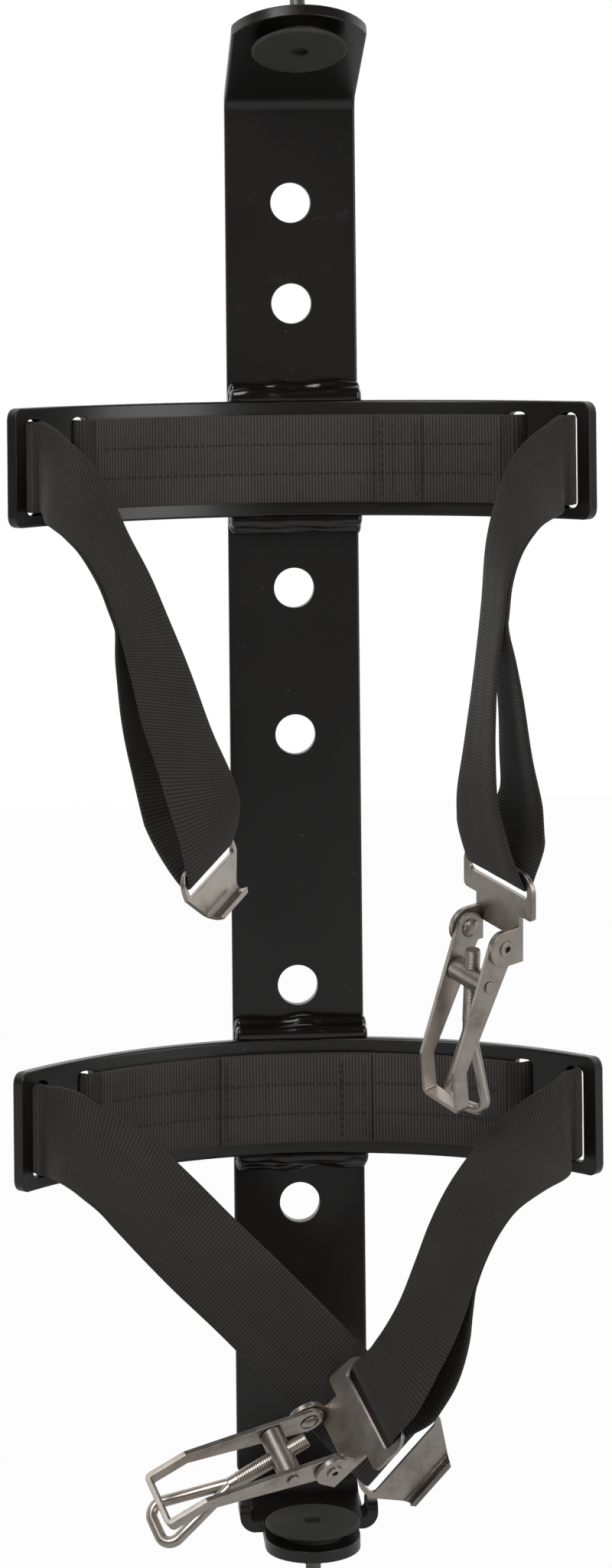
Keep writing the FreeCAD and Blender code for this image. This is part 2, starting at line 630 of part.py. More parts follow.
def pivot_rivets():
    """Two short rivets: a low dome inside each arm, a rolled tube end outside each ear."""
    face = EAR_GAP / 2 - 2 * HANDLE_CLEARANCE - LATCH_STEEL
    outer = EAR_GAP / 2 + LATCH_STEEL
    end = outer + RIVET_ROLL_HEIGHT
    ball = (RIVET_DOME_RADIUS ** 2 + RIVET_DOME_HEIGHT ** 2) / (2 * RIVET_DOME_HEIGHT)
    rivets = []
    for side in (1, -1):
        way = Vector(side, 0, 0)
        shank = Part.makeCylinder(PIVOT_RIVET_DIAMETER / 2, end - face, way * face, way)
        dome = Part.makeSphere(ball, way * (face - RIVET_DOME_HEIGHT + ball))
        keep = Part.makeCylinder(RIVET_DOME_RADIUS, RIVET_DOME_HEIGHT, way * face, way * -1)
        roll = Part.makeCylinder(RIVET_ROLL_DIAMETER / 2, RIVET_ROLL_HEIGHT, way * outer, way)
        well = Part.makeCylinder(RIVET_WELL_DIAMETER / 2, LATCH_STEEL, way * end, way * -1)
        rivets += shank.fuse([dome.common(keep), roll]).cut(well).Solids
    return Part.makeCompound(rivets)


def trunnion():
    """Cross barrel with a pin and rivet head at each end, bored along Y for the hook bolt."""
    inner = EAR_GAP / 2 - HANDLE_CLEARANCE - LATCH_STEEL - TRUNNION_SIDE_GAP
    outer = EAR_GAP / 2 - HANDLE_CLEARANCE + TRUNNION_SIDE_GAP / 2
    across = Vector(1, 0, 0)
    barrel = Part.makeCylinder(TRUNNION_DIAMETER / 2, 2 * inner, Vector(-inner, 0, 0), across)
    pin = Part.makeCylinder(TRUNNION_PIN_DIAMETER / 2, 2 * outer, Vector(-outer, 0, 0), across)
    heads = [Part.makeCylinder(TRUNNION_HEAD_DIAMETER / 2, TRUNNION_HEAD_HEIGHT, across * (s * outer),
                               across * s) for s in (1, -1)]
    bore = Part.makeCylinder(BOLT_DIAMETER / 2 + RUNNING_CLEARANCE, 4 * TRUNNION_DIAMETER,
                             Vector(0, -2 * TRUNNION_DIAMETER, 0), Vector(0, 1, 0))
    return barrel.fuse([pin] + heads).cut(bore)


def wire_rod(edges):
    """Round wire along a path that starts along Y."""
    path = Part.Wire(edges)
    start = edges[0].Vertexes[0].Point
    way = (edges[0].Vertexes[1].Point - start).normalize()
    ring = Part.Wire(Part.Circle(start, way, LOOP_WIRE_DIAMETER / 2).toShape())
    return path.makePipeShell([ring], True, False)


def hook_bolt():
    """Threaded shank with a closed teardrop loop, trunnion centre at the origin."""
    wire = LOOP_WIRE_DIAMETER / 2
    half = LOOP_WIDTH / 2 - wire
    tip = BOLT_SHANK + LOOP_LENGTH - wire
    shank = Part.makeCylinder(BOLT_DIAMETER / 2, BOLT_TAIL + BOLT_SHANK, Vector(0, -BOLT_TAIL, 0),
                              Vector(0, 1, 0))
    apex = Vector(0, BOLT_SHANK - wire, 0)
    body = shank
    for side in (1, -1):
        corner = Vector(side * half, tip, 0)
        run_in = (corner - apex).normalize()
        run_out = Vector(-side, 0, 0)
        turn = math.acos(run_in.dot(run_out))
        cut = LOOP_CORNER_RADIUS * math.tan(turn / 2)
        first, last = corner - run_in * cut, corner + run_out * cut
        inward = (run_out - run_in).normalize()
        centre = corner + inward * (LOOP_CORNER_RADIUS / math.cos(turn / 2))
        middle = centre - inward * LOOP_CORNER_RADIUS
        body = body.fuse(wire_rod([Part.LineSegment(apex, first).toShape(),
                                   Part.Arc(first, middle, last).toShape(),
                                   Part.LineSegment(last, Vector(0, tip, 0)).toShape()]))
    return body.removeSplitter()


def hook_plate():
    """Slotted plate that narrows to a lip curled towards the front."""
    bar, slot = strap_end(HOOK_PLATE_WIDTH, STRAP_BAR_CORNER)
    half, lip = HOOK_PLATE_WIDTH / 2, HOOK_LIP_WIDTH / 2
    flat = STRAP_SLOT_WIDTH + HOOK_FLAT
    thick = LATCH_STEEL / 2
    centre = Vector(0, flat, thick + HOOK_CURL_RADIUS)
    profile = block((-half, half), (STRAP_SLOT_WIDTH, flat), (-thick, thick))
    face = Part.Face(Part.makePolygon([Vector(-half, flat, -thick), Vector(half, flat, -thick),
                                       Vector(half, flat, thick), Vector(-half, flat, thick),
                                       Vector(-half, flat, -thick)]))
    curl = face.revolve(centre, Vector(1, 0, 0), HOOK_CURL_ANGLE)
    end = face.extrude(Vector(0, HOOK_LIP, 0))
    end.rotate(centre, Vector(1, 0, 0), HOOK_CURL_ANGLE)
    reach = flat + HOOK_CURL_RADIUS + LATCH_STEEL
    outline = [Vector(-half, STRAP_SLOT_WIDTH, -reach), Vector(half, STRAP_SLOT_WIDTH, -reach),
               Vector(lip, reach, -reach), Vector(-lip, reach, -reach)]
    taper = prism(outline, Vector(0, 0, 2 * reach))
    body = profile.fuse([curl, end]).common(taper)
    return bar.fuse(body).cut(slot).removeSplitter()


def latch_places(base, handle_lean, bolt_lean):
    """Placements in a latch: its pivot, the handle there, and the trunnion with its bolt."""
    side = Vector(1, 0, 0)
    pivot = base.multiply(Placement(pivot_point(), Rotation()))
    handle = pivot.multiply(Placement(Vector(), Rotation(side, handle_lean)))
    cross = handle.multiply(Placement(Vector(0, TRUNNION_REACH, 0), Rotation(side, bolt_lean - handle_lean)))
    return pivot, handle, cross


def placed(shape, place):
    moved = shape.copy()
    moved.Placement = place.multiply(moved.Placement)
    return moved


def plate_frame(edge, across, along):
    """Frame of a plate from its strap edge, a rough direction across it and its long direction."""
    along = Vector(*along).normalize()
    across = Vector(*across)
    across = (across - along * across.dot(along)).normalize()
    return frame(Vector(*edge), across, along, across.cross(along))


# Where the four plates hang: strap edge, direction across, direction from strap to hook end
UPPER_LATCH = plate_frame((75.8, -104.8, -76.0), (-0.5, 0.84, 0.226), (0.027, 0.26, -0.965))
LOWER_LATCH = plate_frame((22.9, -110.8, -290.6), (-0.35, 0.72, 0.6), (-0.66, 0.27, -0.7))
UPPER_HOOK = plate_frame((-42.9, -73.7, -75.2), (-0.5, -0.78, -0.375), (0.32, 0.22, -0.92))
LOWER_HOOK = plate_frame((31.6, -87.0, -317.2), (-0.68, 0.0, -0.73), (0.73, 0.0, -0.68))

# How far each handle and bolt stands off its base, and how far its loop is screwed round, in degrees
UPPER_HANDLE_LEAN, UPPER_BOLT_LEAN, UPPER_LOOP_TWIST = 23.5, 3.0, -20.0
LOWER_HANDLE_LEAN, LOWER_BOLT_LEAN, LOWER_LOOP_TWIST = 52.0, 25.0, 0.0

# Free stations of each strap: centre, direction of its inner edge, space between its layers
UPPER_LEFT_HANG = [
    ((-103, -78, 83.6), (0.2, 0.3, 0.9), 0), ((-96, -84, 77.7), (0.25, 0.5, 0.8), 0),
    ((-88.5, -86, 68), (0.3, 0.7, 0.6), 0), ((-81, -85, 53), (0.3, 0.8, 0.45), 0),
    ((-74.5, -83, 39), (0.4, 0.8, 0.3), 0), ((-69, -80, 25), (0.55, 0.82, 0.05), 0),
    ((-62, -77, 4.5), (0.7, 0.7, -0.15), 5.5), ((-55, -76, -19), (0.78, 0.62, -0.15), 11),
    ((-48, -75, -37.5), (0.8, 0.56, -0.1), 16), ((-43, -75, -54), (0.75, 0.64, 0.12), 17)]
UPPER_RIGHT_HANG = [
    ((104.5, -73, 85.8), (-0.12, 0.2, 0.97), 0), ((97, -80, 82), (-0.2, 0.5, 0.83), 0),
    ((90, -86, 76), (-0.2, 0.7, 0.7), 0), ((83.3, -92, 65), (-0.12, 0.8, 0.6), 0),
    ((78, -97, 49), (-0.1, 0.88, 0.45), 0), ((75.5, -100, 29), (-0.1, 0.98, 0.15), 0),
    ((73, -101, 11), (-0.1, 1, 0), 5.5), ((71, -102, -6), (-0.13, 0.99, -0.05), 10),
    ((69, -103, -27), (-0.2, 0.97, -0.03), 14), ((67.9, -104, -46), (-0.3, 0.93, 0.05), 18),
    ((69.5, -105, -60), (-0.42, 0.88, 0.15), 16)]
LOWER_LEFT_HANG = [
    ((-100, -76, -188.4), (0.15, 0.25, 0.95), 0), ((-90.5, -82, -193.8), (0.25, 0.45, 0.85), 0),
    ((-81, -85, -200), (0.4, 0.48, 0.78), 0), ((-70, -86.5, -210), (0.55, 0.35, 0.75), 0),
    ((-47, -87, -234), (0.68, 0.12, 0.7), 0), ((-27, -87, -254), (0.7, 0, 0.7), 0),
    ((-8, -87.5, -274), (0.7, 0, 0.7), 2), ((7, -88.5, -290.5), (0.7, 0, 0.7), 6),
    ((19, -89.5, -303.5), (0.69, 0, 0.72), 8)]
LOWER_RIGHT_HANG = [
    ((103.6, -76, -190.7), (-0.15, 0.15, 0.97), 0), ((91.5, -84, -195), (-0.2, 0.5, 0.82), 0),
    ((78.5, -92, -202), (-0.2, 0.68, 0.7), 0), ((69.5, -97.5, -210.5), (-0.22, 0.7, 0.68), 0),
    ((61, -103, -221.5), (-0.3, 0.73, 0.6), 0), ((54.8, -108, -232.3), (-0.38, 0.8, 0.47), 0),
    ((49.8, -112, -243.5), (-0.43, 0.83, 0.33), 2.5), ((43.6, -115, -257), (-0.48, 0.85, 0.2), 7),
    ((36.5, -116, -269.5), (-0.47, 0.83, 0.25), 11), ((30.5, -116.7, -279), (-0.4, 0.78, 0.45), 11)]


def write_latch(name, base, handle_lean, bolt_lean, twist):
    pivot, handle, cross = latch_places(base, handle_lean, bolt_lean)
    screwed = cross.multiply(Placement(Vector(), Rotation(Vector(0, 1, 0), twist)))
    save(placed(latch_base(), base), name + "_latch_base")
    save(placed(latch_handle(), handle), name + "_latch_handle")
    save(placed(pivot_rivets(), pivot), name + "_latch_rivets")
    save(placed(trunnion(), cross), name + "_latch_trunnion")
    save(placed(hook_bolt(), screwed), name + "_latch_hook_bolt")


def main():
    save(backbone(), "backbone")
    for name, place in bumper_places().items():
        save(placed(bumper(), place), name + "_bumper")
        save(placed(bumper_screw(), place), name + "_bumper_screw")
        save(placed(bumper_nut(), place), name + "_bumper_nut")
    for name, height, lap in (("upper", UPPER_CRADLE_HEIGHT, UPPER_LAP),
                              ("lower", LOWER_CRADLE_HEIGHT, LOWER_LAP)):
        save(spacer(height), name + "_spacer")
        save(cradle(height), name + "_cradle")
        save(cradle_welds(height), name + "_welds")
        save(pad(height, lap), name + "_pad")
    write_latch("upper", UPPER_LATCH, UPPER_HANDLE_LEAN, UPPER_BOLT_LEAN, UPPER_LOOP_TWIST)
    write_latch("lower", LOWER_LATCH, LOWER_HANDLE_LEAN, LOWER_BOLT_LEAN, LOWER_LOOP_TWIST)
    save(placed(hook_plate(), UPPER_HOOK), "upper_hook_plate")
    save(placed(hook_plate(), LOWER_HOOK), "lower_hook_plate")
    save(strap(-1, UPPER_CRADLE_HEIGHT, UPPER_LEFT_HANG, UPPER_HOOK), "upper_left_strap")
    save(strap(1, UPPER_CRADLE_HEIGHT, UPPER_RIGHT_HANG, UPPER_LATCH), "upper_right_strap")
    save(strap(-1, LOWER_CRADLE_HEIGHT, LOWER_LEFT_HANG, LOWER_HOOK), "lower_left_strap")
    save(strap(1, LOWER_CRADLE_HEIGHT, LOWER_RIGHT_HANG, LOWER_LATCH), "lower_right_strap")


main()
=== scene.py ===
"""Fire extinguisher bracket with its finishes: paint, woven straps, sewn pads, welds and threads.

Metres. X is to the right, -Y out of the wall towards the user, +Z up. The steel comes from the
frame and keeps its place; straps, pads, weld beads and threads are made here round it.
"""
import json
import math

import bpy
from bpy.props import FloatProperty, FloatVectorProperty, PointerProperty
from mathutils import Matrix, Vector, noise


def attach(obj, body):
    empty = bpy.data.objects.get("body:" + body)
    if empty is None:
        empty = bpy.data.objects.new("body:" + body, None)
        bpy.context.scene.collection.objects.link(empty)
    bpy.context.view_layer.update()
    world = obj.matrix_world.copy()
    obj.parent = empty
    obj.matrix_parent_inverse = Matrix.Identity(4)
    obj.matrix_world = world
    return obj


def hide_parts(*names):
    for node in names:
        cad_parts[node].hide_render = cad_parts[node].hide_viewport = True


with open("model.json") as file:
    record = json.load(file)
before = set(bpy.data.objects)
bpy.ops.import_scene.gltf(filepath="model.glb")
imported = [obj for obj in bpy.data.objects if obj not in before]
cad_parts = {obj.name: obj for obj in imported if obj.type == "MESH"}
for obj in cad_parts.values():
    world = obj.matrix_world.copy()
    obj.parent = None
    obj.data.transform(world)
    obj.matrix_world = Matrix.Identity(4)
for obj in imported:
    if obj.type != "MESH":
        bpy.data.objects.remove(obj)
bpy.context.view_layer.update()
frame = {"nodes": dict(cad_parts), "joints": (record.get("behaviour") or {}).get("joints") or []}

bl_info = {
    "name": "Fire Extinguisher Bracket",
    "version": (1, 0, 0),
    "blender": (4, 5, 0),
    "location": "View3D > Sidebar > Bracket",
    "description": "Builds the straps, pads, welds, threads and finishes of a fire extinguisher bracket",
    "category": "Add Mesh",
}

JOINTS = {joint["name"]: joint for joint in frame["joints"]}
MM = 0.001
UP = Vector((0, 0, 1))

# Photograph's frame and the lens that fits it, in its pixels
PHOTO_WIDTH, PHOTO_HEIGHT = 800, 2051
FOCAL_PIXELS = 4630.0
HORIZON_PIXEL = 366.0
AXIS_PIXEL = 380.6
CAMERA_YAW = math.radians(4.5)
CAMERA_ROLL = math.radians(0.55)
CAMERA_DISTANCE = 1.545
CAMERA_AIM = Vector((0, -0.00476, 0.16645))
SENSOR_WIDTH = 36.0

# Lamps and floor
LAMP_AIM = Vector((0, 0, -0.05))
KEY_PLACE = (-0.95, -1.35, 1.15)
FILL_PLACE = (1.15, -1.15, 0.25)
LAMP_SIZE = 1.0
BEHIND_BAND = (-0.05, 0.35)
FLOOR_HALF_WIDTH = 6.0
FLOOR_BRIGHT_SHARE = 0.965

# Steel that the webbing runs through and lies on
BAR_THICKNESS = 0.00476
BAR_HALF_WIDTH = 0.0285
SPACER_FRONT = 0.01076
CRADLE_RADIUS = 0.160
CRADLE_AXIS_Y = -(SPACER_FRONT + BAR_THICKNESS + CRADLE_RADIUS)
CRADLE_HALF_HEIGHT = 0.025
SPACER_HALF_HEIGHT = 0.028
CRADLE_Z = {"upper": 0.089, "lower": -0.1875}
SLOT_WIDTH = 0.009
INNER_SLOT = 0.0994
SLOT_BAR_WIDTH = 0.0165
OUTER_SLOT = INNER_SLOT + SLOT_WIDTH + SLOT_BAR_WIDTH

# Webbing
WEB_WIDTH = 0.038
WEB_THICKNESS = 0.0015
LAYER_GAP = 0.00015
LOOP_RADIUS = 0.00225
LOOP_OPENING = math.radians(22)
PAD_END = INNER_SLOT - SLOT_WIDTH / 2 - 0.0015
PAD_JOIN_GAP = 0.0002
SPAN_STEPS = 9
TURN_STEPS = 14
BRIDGE_STEPS = 8
BRIDGE_PULL = 0.8
GROOVE = WEB_WIDTH / 6
GROOVE_HALF_WIDTH, GROOVE_HEIGHT = 0.0008, 0.92
SIDE_SWELL, MIDDLE_SWELL = (0.0125, 1.04), (0.0, 1.03)
WEB_SHOULDER, WEB_EDGE_ROUND, WEB_EDGE_HEIGHT = 0.0008, 0.0002, 0.7
FLUTTER = 0.00012
FLUTTER_SCALE = 55.0

# Lap of each pad's ends and its cross seams, as arc lengths from the middle
PAD_LAP = {"upper": (0.036, 0.056), "lower": (-0.036, 0.031)}
PAD_SEAMS = {"upper": (0.0385, 0.0432, 0.0535), "lower": (-0.0335, -0.0160, 0.0180, 0.0285)}
PAD_STEP = 0.0025
PAD_FLUTTER = 0.00006
SEAM_DEPTH, SEAM_SPREAD = 0.00018, 0.0011
ROW_MARGIN, SEAM_MARGIN = 0.004, 0.002

# Spindle of one stitch: share of its length, share of its radius, rise in radii
STITCH_PROFILE = ((0.0, 0.35, -0.6), (0.2, 0.9, 0.25), (0.5, 1.0, 0.55), (0.8, 0.9, 0.25), (1.0, 0.35, -0.6))
STITCH_SIDES = 6

# Way of the webbing in and out of a pair of slots: arc length from the slot's centre, depth behind
INNER_SLOT_WAY = [(-0.0006, -0.0016), (0.0014, 0.0018), (0.0025, 0.0052)]
OUTER_SLOT_WAY = [(-0.0019, 0.0054), (-0.0005, 0.0024), (0.0004, -0.0015), (0.0002, -0.0060)]

# Free stations of each strap in millimetres: centre, direction of its inner edge, space between layers
UPPER_LEFT_HANG = [
    ((-103, -78, 83.6), (0.2, 0.3, 0.9), 0), ((-96, -84, 77.7), (0.25, 0.5, 0.8), 0),
    ((-88.5, -86, 68), (0.3, 0.7, 0.6), 0), ((-81, -85, 53), (0.3, 0.8, 0.45), 0),
    ((-74.5, -83, 39), (0.4, 0.8, 0.3), 0), ((-69, -80, 25), (0.55, 0.82, 0.05), 0),
    ((-62, -77, 4.5), (0.7, 0.7, -0.15), 5.5), ((-55, -76, -19), (0.78, 0.62, -0.15), 11),
    ((-48, -75, -37.5), (0.8, 0.56, -0.1), 16), ((-43, -75, -54), (0.75, 0.64, 0.12), 17)]
UPPER_RIGHT_HANG = [
    ((104.5, -73, 85.8), (-0.12, 0.2, 0.97), 0), ((97, -80, 82), (-0.2, 0.5, 0.83), 0),
    ((90, -86, 76), (-0.2, 0.7, 0.7), 0), ((83.3, -92, 65), (-0.12, 0.8, 0.6), 0),
    ((78, -97, 49), (-0.1, 0.88, 0.45), 0), ((75.5, -100, 29), (-0.1, 0.98, 0.15), 0),
    ((73, -101, 11), (-0.1, 1, 0), 5.5), ((71, -102, -6), (-0.13, 0.99, -0.05), 10),
    ((69, -103, -27), (-0.2, 0.97, -0.03), 14), ((67.9, -104, -46), (-0.3, 0.93, 0.05), 18),
    ((69.5, -105, -60), (-0.42, 0.88, 0.15), 16)]
LOWER_LEFT_HANG = [
    ((-100, -76, -188.4), (0.15, 0.25, 0.95), 0), ((-90.5, -82, -193.8), (0.25, 0.45, 0.85), 0),
    ((-81, -85, -200), (0.4, 0.48, 0.78), 0), ((-70, -86.5, -210), (0.55, 0.35, 0.75), 0),
    ((-47, -87, -234), (0.68, 0.12, 0.7), 0), ((-27, -87, -254), (0.7, 0, 0.7), 0),
    ((-8, -87.5, -274), (0.7, 0, 0.7), 2), ((7, -88.5, -290.5), (0.7, 0, 0.7), 6),
    ((19, -89.5, -303.5), (0.69, 0, 0.72), 8)]
LOWER_RIGHT_HANG = [
    ((103.6, -76, -190.7), (-0.15, 0.15, 0.97), 0), ((91.5, -84, -195), (-0.2, 0.5, 0.82), 0),
    ((78.5, -92, -202), (-0.2, 0.68, 0.7), 0), ((69.5, -97.5, -210.5), (-0.22, 0.7, 0.68), 0),
    ((61, -103, -221.5), (-0.3, 0.73, 0.6), 0), ((54.8, -108, -232.3), (-0.38, 0.8, 0.47), 0),
    ((49.8, -112, -243.5), (-0.43, 0.83, 0.33), 2.5), ((43.6, -115, -257), (-0.48, 0.85, 0.2), 7),
    ((36.5, -116, -269.5), (-0.47, 0.83, 0.25), 11), ((30.5, -116.7, -279), (-0.4, 0.78, 0.45), 11)]

# Each strap: its side, cradle, free stations, the joint that its plate swings on and the plate's long way
STRAPS = {
    "upper_left_strap": (-1, "upper", UPPER_LEFT_HANG, "upper_hook_swing", (0.32, 0.22, -0.92)),
    "upper_right_strap": (1, "upper", UPPER_RIGHT_HANG, "upper_latch_swing", (0.027, 0.26, -0.965)),
    "lower_left_strap": (-1, "lower", LOWER_LEFT_HANG, "lower_hook_swing", (0.73, 0.0, -0.68)),
    "lower_right_strap": (1, "lower", LOWER_RIGHT_HANG, "lower_latch_swing", (-0.66, 0.27, -0.7)),
}

# Weld beads
BEAD_LEG = 0.0056
BEAD_FULLNESS = 0.66
BEAD_SPREAD = 0.94
BEAD_STATIONS = 150
BEAD_POINTS = 12
BEAD_INSET, BEAD_OVERRUN = 0.0002, 0.0012
BEAD_CAP = 0.0022
BEAD_ROOT = 0.0004
BEAD_SWELL = 0.3
BEAD_LEAST = 0.05
BEAD_SEED = Vector((7, 90, 800))
BEAD_BULGE = 0.30 * BEAD_FULLNESS
WELD_GLOSS = 0.12

# Thread of the hook bolts, from the trunnion's centre
BOLT_RADIUS = 0.003
THREAD_START, THREAD_END = -0.0118, 0.0205
THREAD_TURN_STEPS = 18
THREAD_CREST, THREAD_ROOT = 0.00028, 0.00025
THREAD_ROOT_SHARE, THREAD_CREST_SHARE = 0.44, 0.07

# What lies on the finishes, the colour of grime and of painted corner shade on the steel, and the floor's two
# whites
DUST_COLOUR = (0.06, 0.054, 0.048)
GRIME_AND_SHADE_COLOUR = (0.17, 0.135, 0.10)
BLOOM_COLOUR = (0.055, 0.052, 0.048)
FLOOR_COLOURS = (0.80, 0.80, 0.79), (0.84, 0.84, 0.83)
WHITE = (1.0, 1.0, 1.0)


class BracketFinishes(bpy.types.PropertyGroup):
    """Colours of the bracket's finishes."""
    paint: FloatVectorProperty(name="Paint", description="Brown-black enamel on the steel frame",
                               subtype="COLOR", min=0, max=1, default=(0.0052, 0.0039, 0.0034))
    webbing: FloatVectorProperty(name="Webbing", description="Yarn of the straps",
                                 subtype="COLOR", min=0, max=1, default=(0.022, 0.0188, 0.0172))
    padding: FloatVectorProperty(name="Padding", description="Lighter webbing of the pads",
                                 subtype="COLOR", min=0, max=1, default=(0.040, 0.0355, 0.0325))
    stitching: FloatVectorProperty(name="Stitching", description="Sewing thread in the pads",
                                   subtype="COLOR", min=0, max=1, default=(0.016, 0.015, 0.014))
    stainless: FloatVectorProperty(name="Stainless", description="Latches and hook plates",
                                   subtype="COLOR", min=0, max=1, default=(0.47, 0.425, 0.38))
    plated: FloatVectorProperty(name="Plated steel", description="Screws and nuts of the bumpers",
                                subtype="COLOR", min=0, max=1, default=(0.20, 0.19, 0.18))
    rubber: FloatVectorProperty(name="Rubber", description="Bumpers on the tab and the foot",
                                subtype="COLOR", min=0, max=1, default=(0.026, 0.025, 0.024))


class BracketSizes(bpy.types.PropertyGroup):
    """Sizes of the textile and metal detail."""
    rib_pitch: FloatProperty(name="Rib pitch", description="Distance between ribs of the webbing",
                             unit="LENGTH", min=0.0004, max=0.003, precision=5, default=0.0014)
    yarn_pitch: FloatProperty(name="Yarn pitch", description="Distance between yarns across the webbing",
                              unit="LENGTH", min=0.0004, max=0.003, precision=5, default=0.0009)
    stitch_length: FloatProperty(name="Stitch length", description="Visible length of one stitch",
                                 unit="LENGTH", min=0.001, max=0.006, precision=5, default=0.0024)
    stitch_pitch: FloatProperty(name="Stitch pitch", description="Distance between stitches in a row",
                                unit="LENGTH", min=0.0015, max=0.008, precision=5, default=0.0033)
    stitch_radius: FloatProperty(name="Stitch radius", description="Half the sewing thread's thickness",
                                 unit="LENGTH", min=0.0001, max=0.001, precision=5, default=0.00036)
    bead_lump: FloatProperty(name="Bead lump", description="Distance between swellings of a weld bead",
                             unit="LENGTH", min=0.004, max=0.04, precision=4, default=0.013)
    thread_pitch: FloatProperty(name="Thread pitch", description="Pitch of the hook bolts' thread",
                                unit="LENGTH", min=0.0004, max=0.002, precision=5, default=0.001)
    edge_round: FloatProperty(name="Edge round", description="Radius at which pressed edges catch light",
                              unit="LENGTH", min=0.0, max=0.002, precision=5, default=0.00045)


class BracketStudio(bpy.types.PropertyGroup):
    """Levels of the studio's light."""
    key: FloatProperty(name="Key lamp", description="Power of the lamp at upper left",
                       unit="POWER", min=0, default=20.0)
    fill: FloatProperty(name="Fill lamp", description="Power of the lamp at right",
                        unit="POWER", min=0, default=9.0)
    ambient: FloatProperty(name="Ambient", description="Light from all round on matt surfaces",
                           subtype="FACTOR", min=0, max=1, default=0.35)
    room: FloatProperty(name="Room", description="What gloss reflects from in front of the object",
                        subtype="FACTOR", min=0, max=1, default=0.06)
    floor_shine: FloatProperty(name="Floor shine", description="What gloss reflects from the floor",
                               subtype="FACTOR", min=0, max=1, default=0.5)
    floor_drop: FloatProperty(name="Floor drop", description="Height of the frame's origin over the floor",
                              unit="LENGTH", min=0.4, default=0.95)


# Shader maths

class Term:
    """An output socket that takes Python arithmetic, each operator adding one Math node."""

    def __init__(self, graph, socket):
        self.graph = graph
        self.socket = socket

    def math(self, operation, *values):
        return self.graph.node("Math", {"operation": operation}, dict(enumerate(values)))

    def __add__(self, other):
        return self.math("ADD", self, other)

    __radd__ = __add__

    def __sub__(self, other):
        return self.math("SUBTRACT", self, other)

    def __rsub__(self, other):
        return self.math("SUBTRACT", other, self)

    def __mul__(self, other):
        return self.math("MULTIPLY", self, other)

    __rmul__ = __mul__

    def __truediv__(self, other):
        return self.math("DIVIDE", self, other)

    def __rtruediv__(self, other):
        return self.math("DIVIDE", other, self)

    def __abs__(self):
        return self.math("ABSOLUTE", self)

    def sin(self):
        return self.math("SINE", self)

    def floor(self):
        return self.math("FLOOR", self)

    def clamped(self):
        return self.math("MINIMUM", self.math("MAXIMUM", self, 0.0), 1.0)

    def band(self, low, high):
        """0 below low, 1 above high and smooth between."""
        return self.graph.node("MapRange", {"interpolation_type": "SMOOTHSTEP"},
                               {"Value": self, "From Min": low, "From Max": high})


class Graph:
    """Node tree of a material or world while it is being built."""

    def __init__(self, owner):
        owner.use_nodes = True
        self.tree = owner.node_tree
        self.tree.nodes.clear()

    def node(self, kind, settings=None, sockets=None, output=0):
        """Adds a node: its own settings first, then the values or links of its sockets."""
        made = self.tree.nodes.new("ShaderNode" + kind)
        for name, value in (settings or {}).items():
            setattr(made, name, value)
        for name, value in (sockets or {}).items():
            if isinstance(value, Term):
                self.tree.links.new(value.socket, made.inputs[name])
            else:
                made.inputs[name].default_value = value
        return Term(self, made.outputs[output]) if made.outputs else None

    def mix(self, factor, first, second):
        """Colour between two colours."""
        return self.node("Mix", {"data_type": "RGBA"}, {0: factor, 6: first, 7: second}, 2)

    def shade(self, colour, factor):
        """Colour made lighter or darker by a value."""
        return self.node("VectorMath", {"operation": "SCALE"}, {0: colour, "Scale": factor})

    def noise(self, place, scale, detail=3.0, roughness=0.5):
        return self.node("TexNoise", {"noise_dimensions": "3D"},
                         {"Vector": place, "Scale": scale, "Detail": detail, "Roughness": roughness})

    def place(self):
        return self.node("TexCoord", output="Object")

    def attribute(self, name):
        return self.node("Attribute", {"attribute_name": name}, output="Fac")

    def edges(self, radius):
        """Normal that turns smoothly round sharp edges."""
        return self.node("Bevel", {"samples": 8}, {"Radius": radius})

    def bump(self, height, distance, strength=1.0, normal=None):
        sockets = {"Height": height, "Distance": distance, "Strength": strength}
        if normal is not None:
            sockets["Normal"] = normal
        return self.node("Bump", None, sockets)

    def surface(self, sockets):
        """Ends the graph in one Principled shader."""
        shader = self.node("BsdfPrincipled", None, sockets)
        self.node("OutputMaterial", None, {"Surface": shader})


def opaque(colour):
    return (*colour, 1.0)


def new_material(name):
    material = bpy.data.materials.new(name)
    return material, Graph(material)


def paint_material(finishes, sizes, name="black_enamel", gloss=0.30):
    """Brown-black enamel with a faint orange peel and a few specks of dust."""
    material, graph = new_material(name)
    place = graph.place()
    cloud = graph.noise(place, 22.0, 5.0)
    peel = graph.noise(place, 620.0, 2.0)
    dust = graph.noise(place, 540.0, 1.0, 0.4).band(0.80, 0.83)
    scuff = graph.noise(place, 95.0, 6.0, 0.7).band(0.58, 0.72)
    dusted = graph.mix(dust, opaque(finishes.paint), opaque(DUST_COLOUR))
    colour = graph.shade(dusted, 0.75 + 0.5 * cloud)
    graph.surface({
        "Base Color": colour,
        "Roughness": gloss + 0.10 * cloud + 0.10 * scuff + 0.2 * dust,
        "Specular IOR Level": 0.5,
        "Coat Weight": 0.25,
        "Coat Roughness": 0.18,
        "Normal": graph.bump(peel + 0.6 * cloud, 0.00006, 0.7, graph.edges(2 * sizes.edge_round)),
    })
    return material


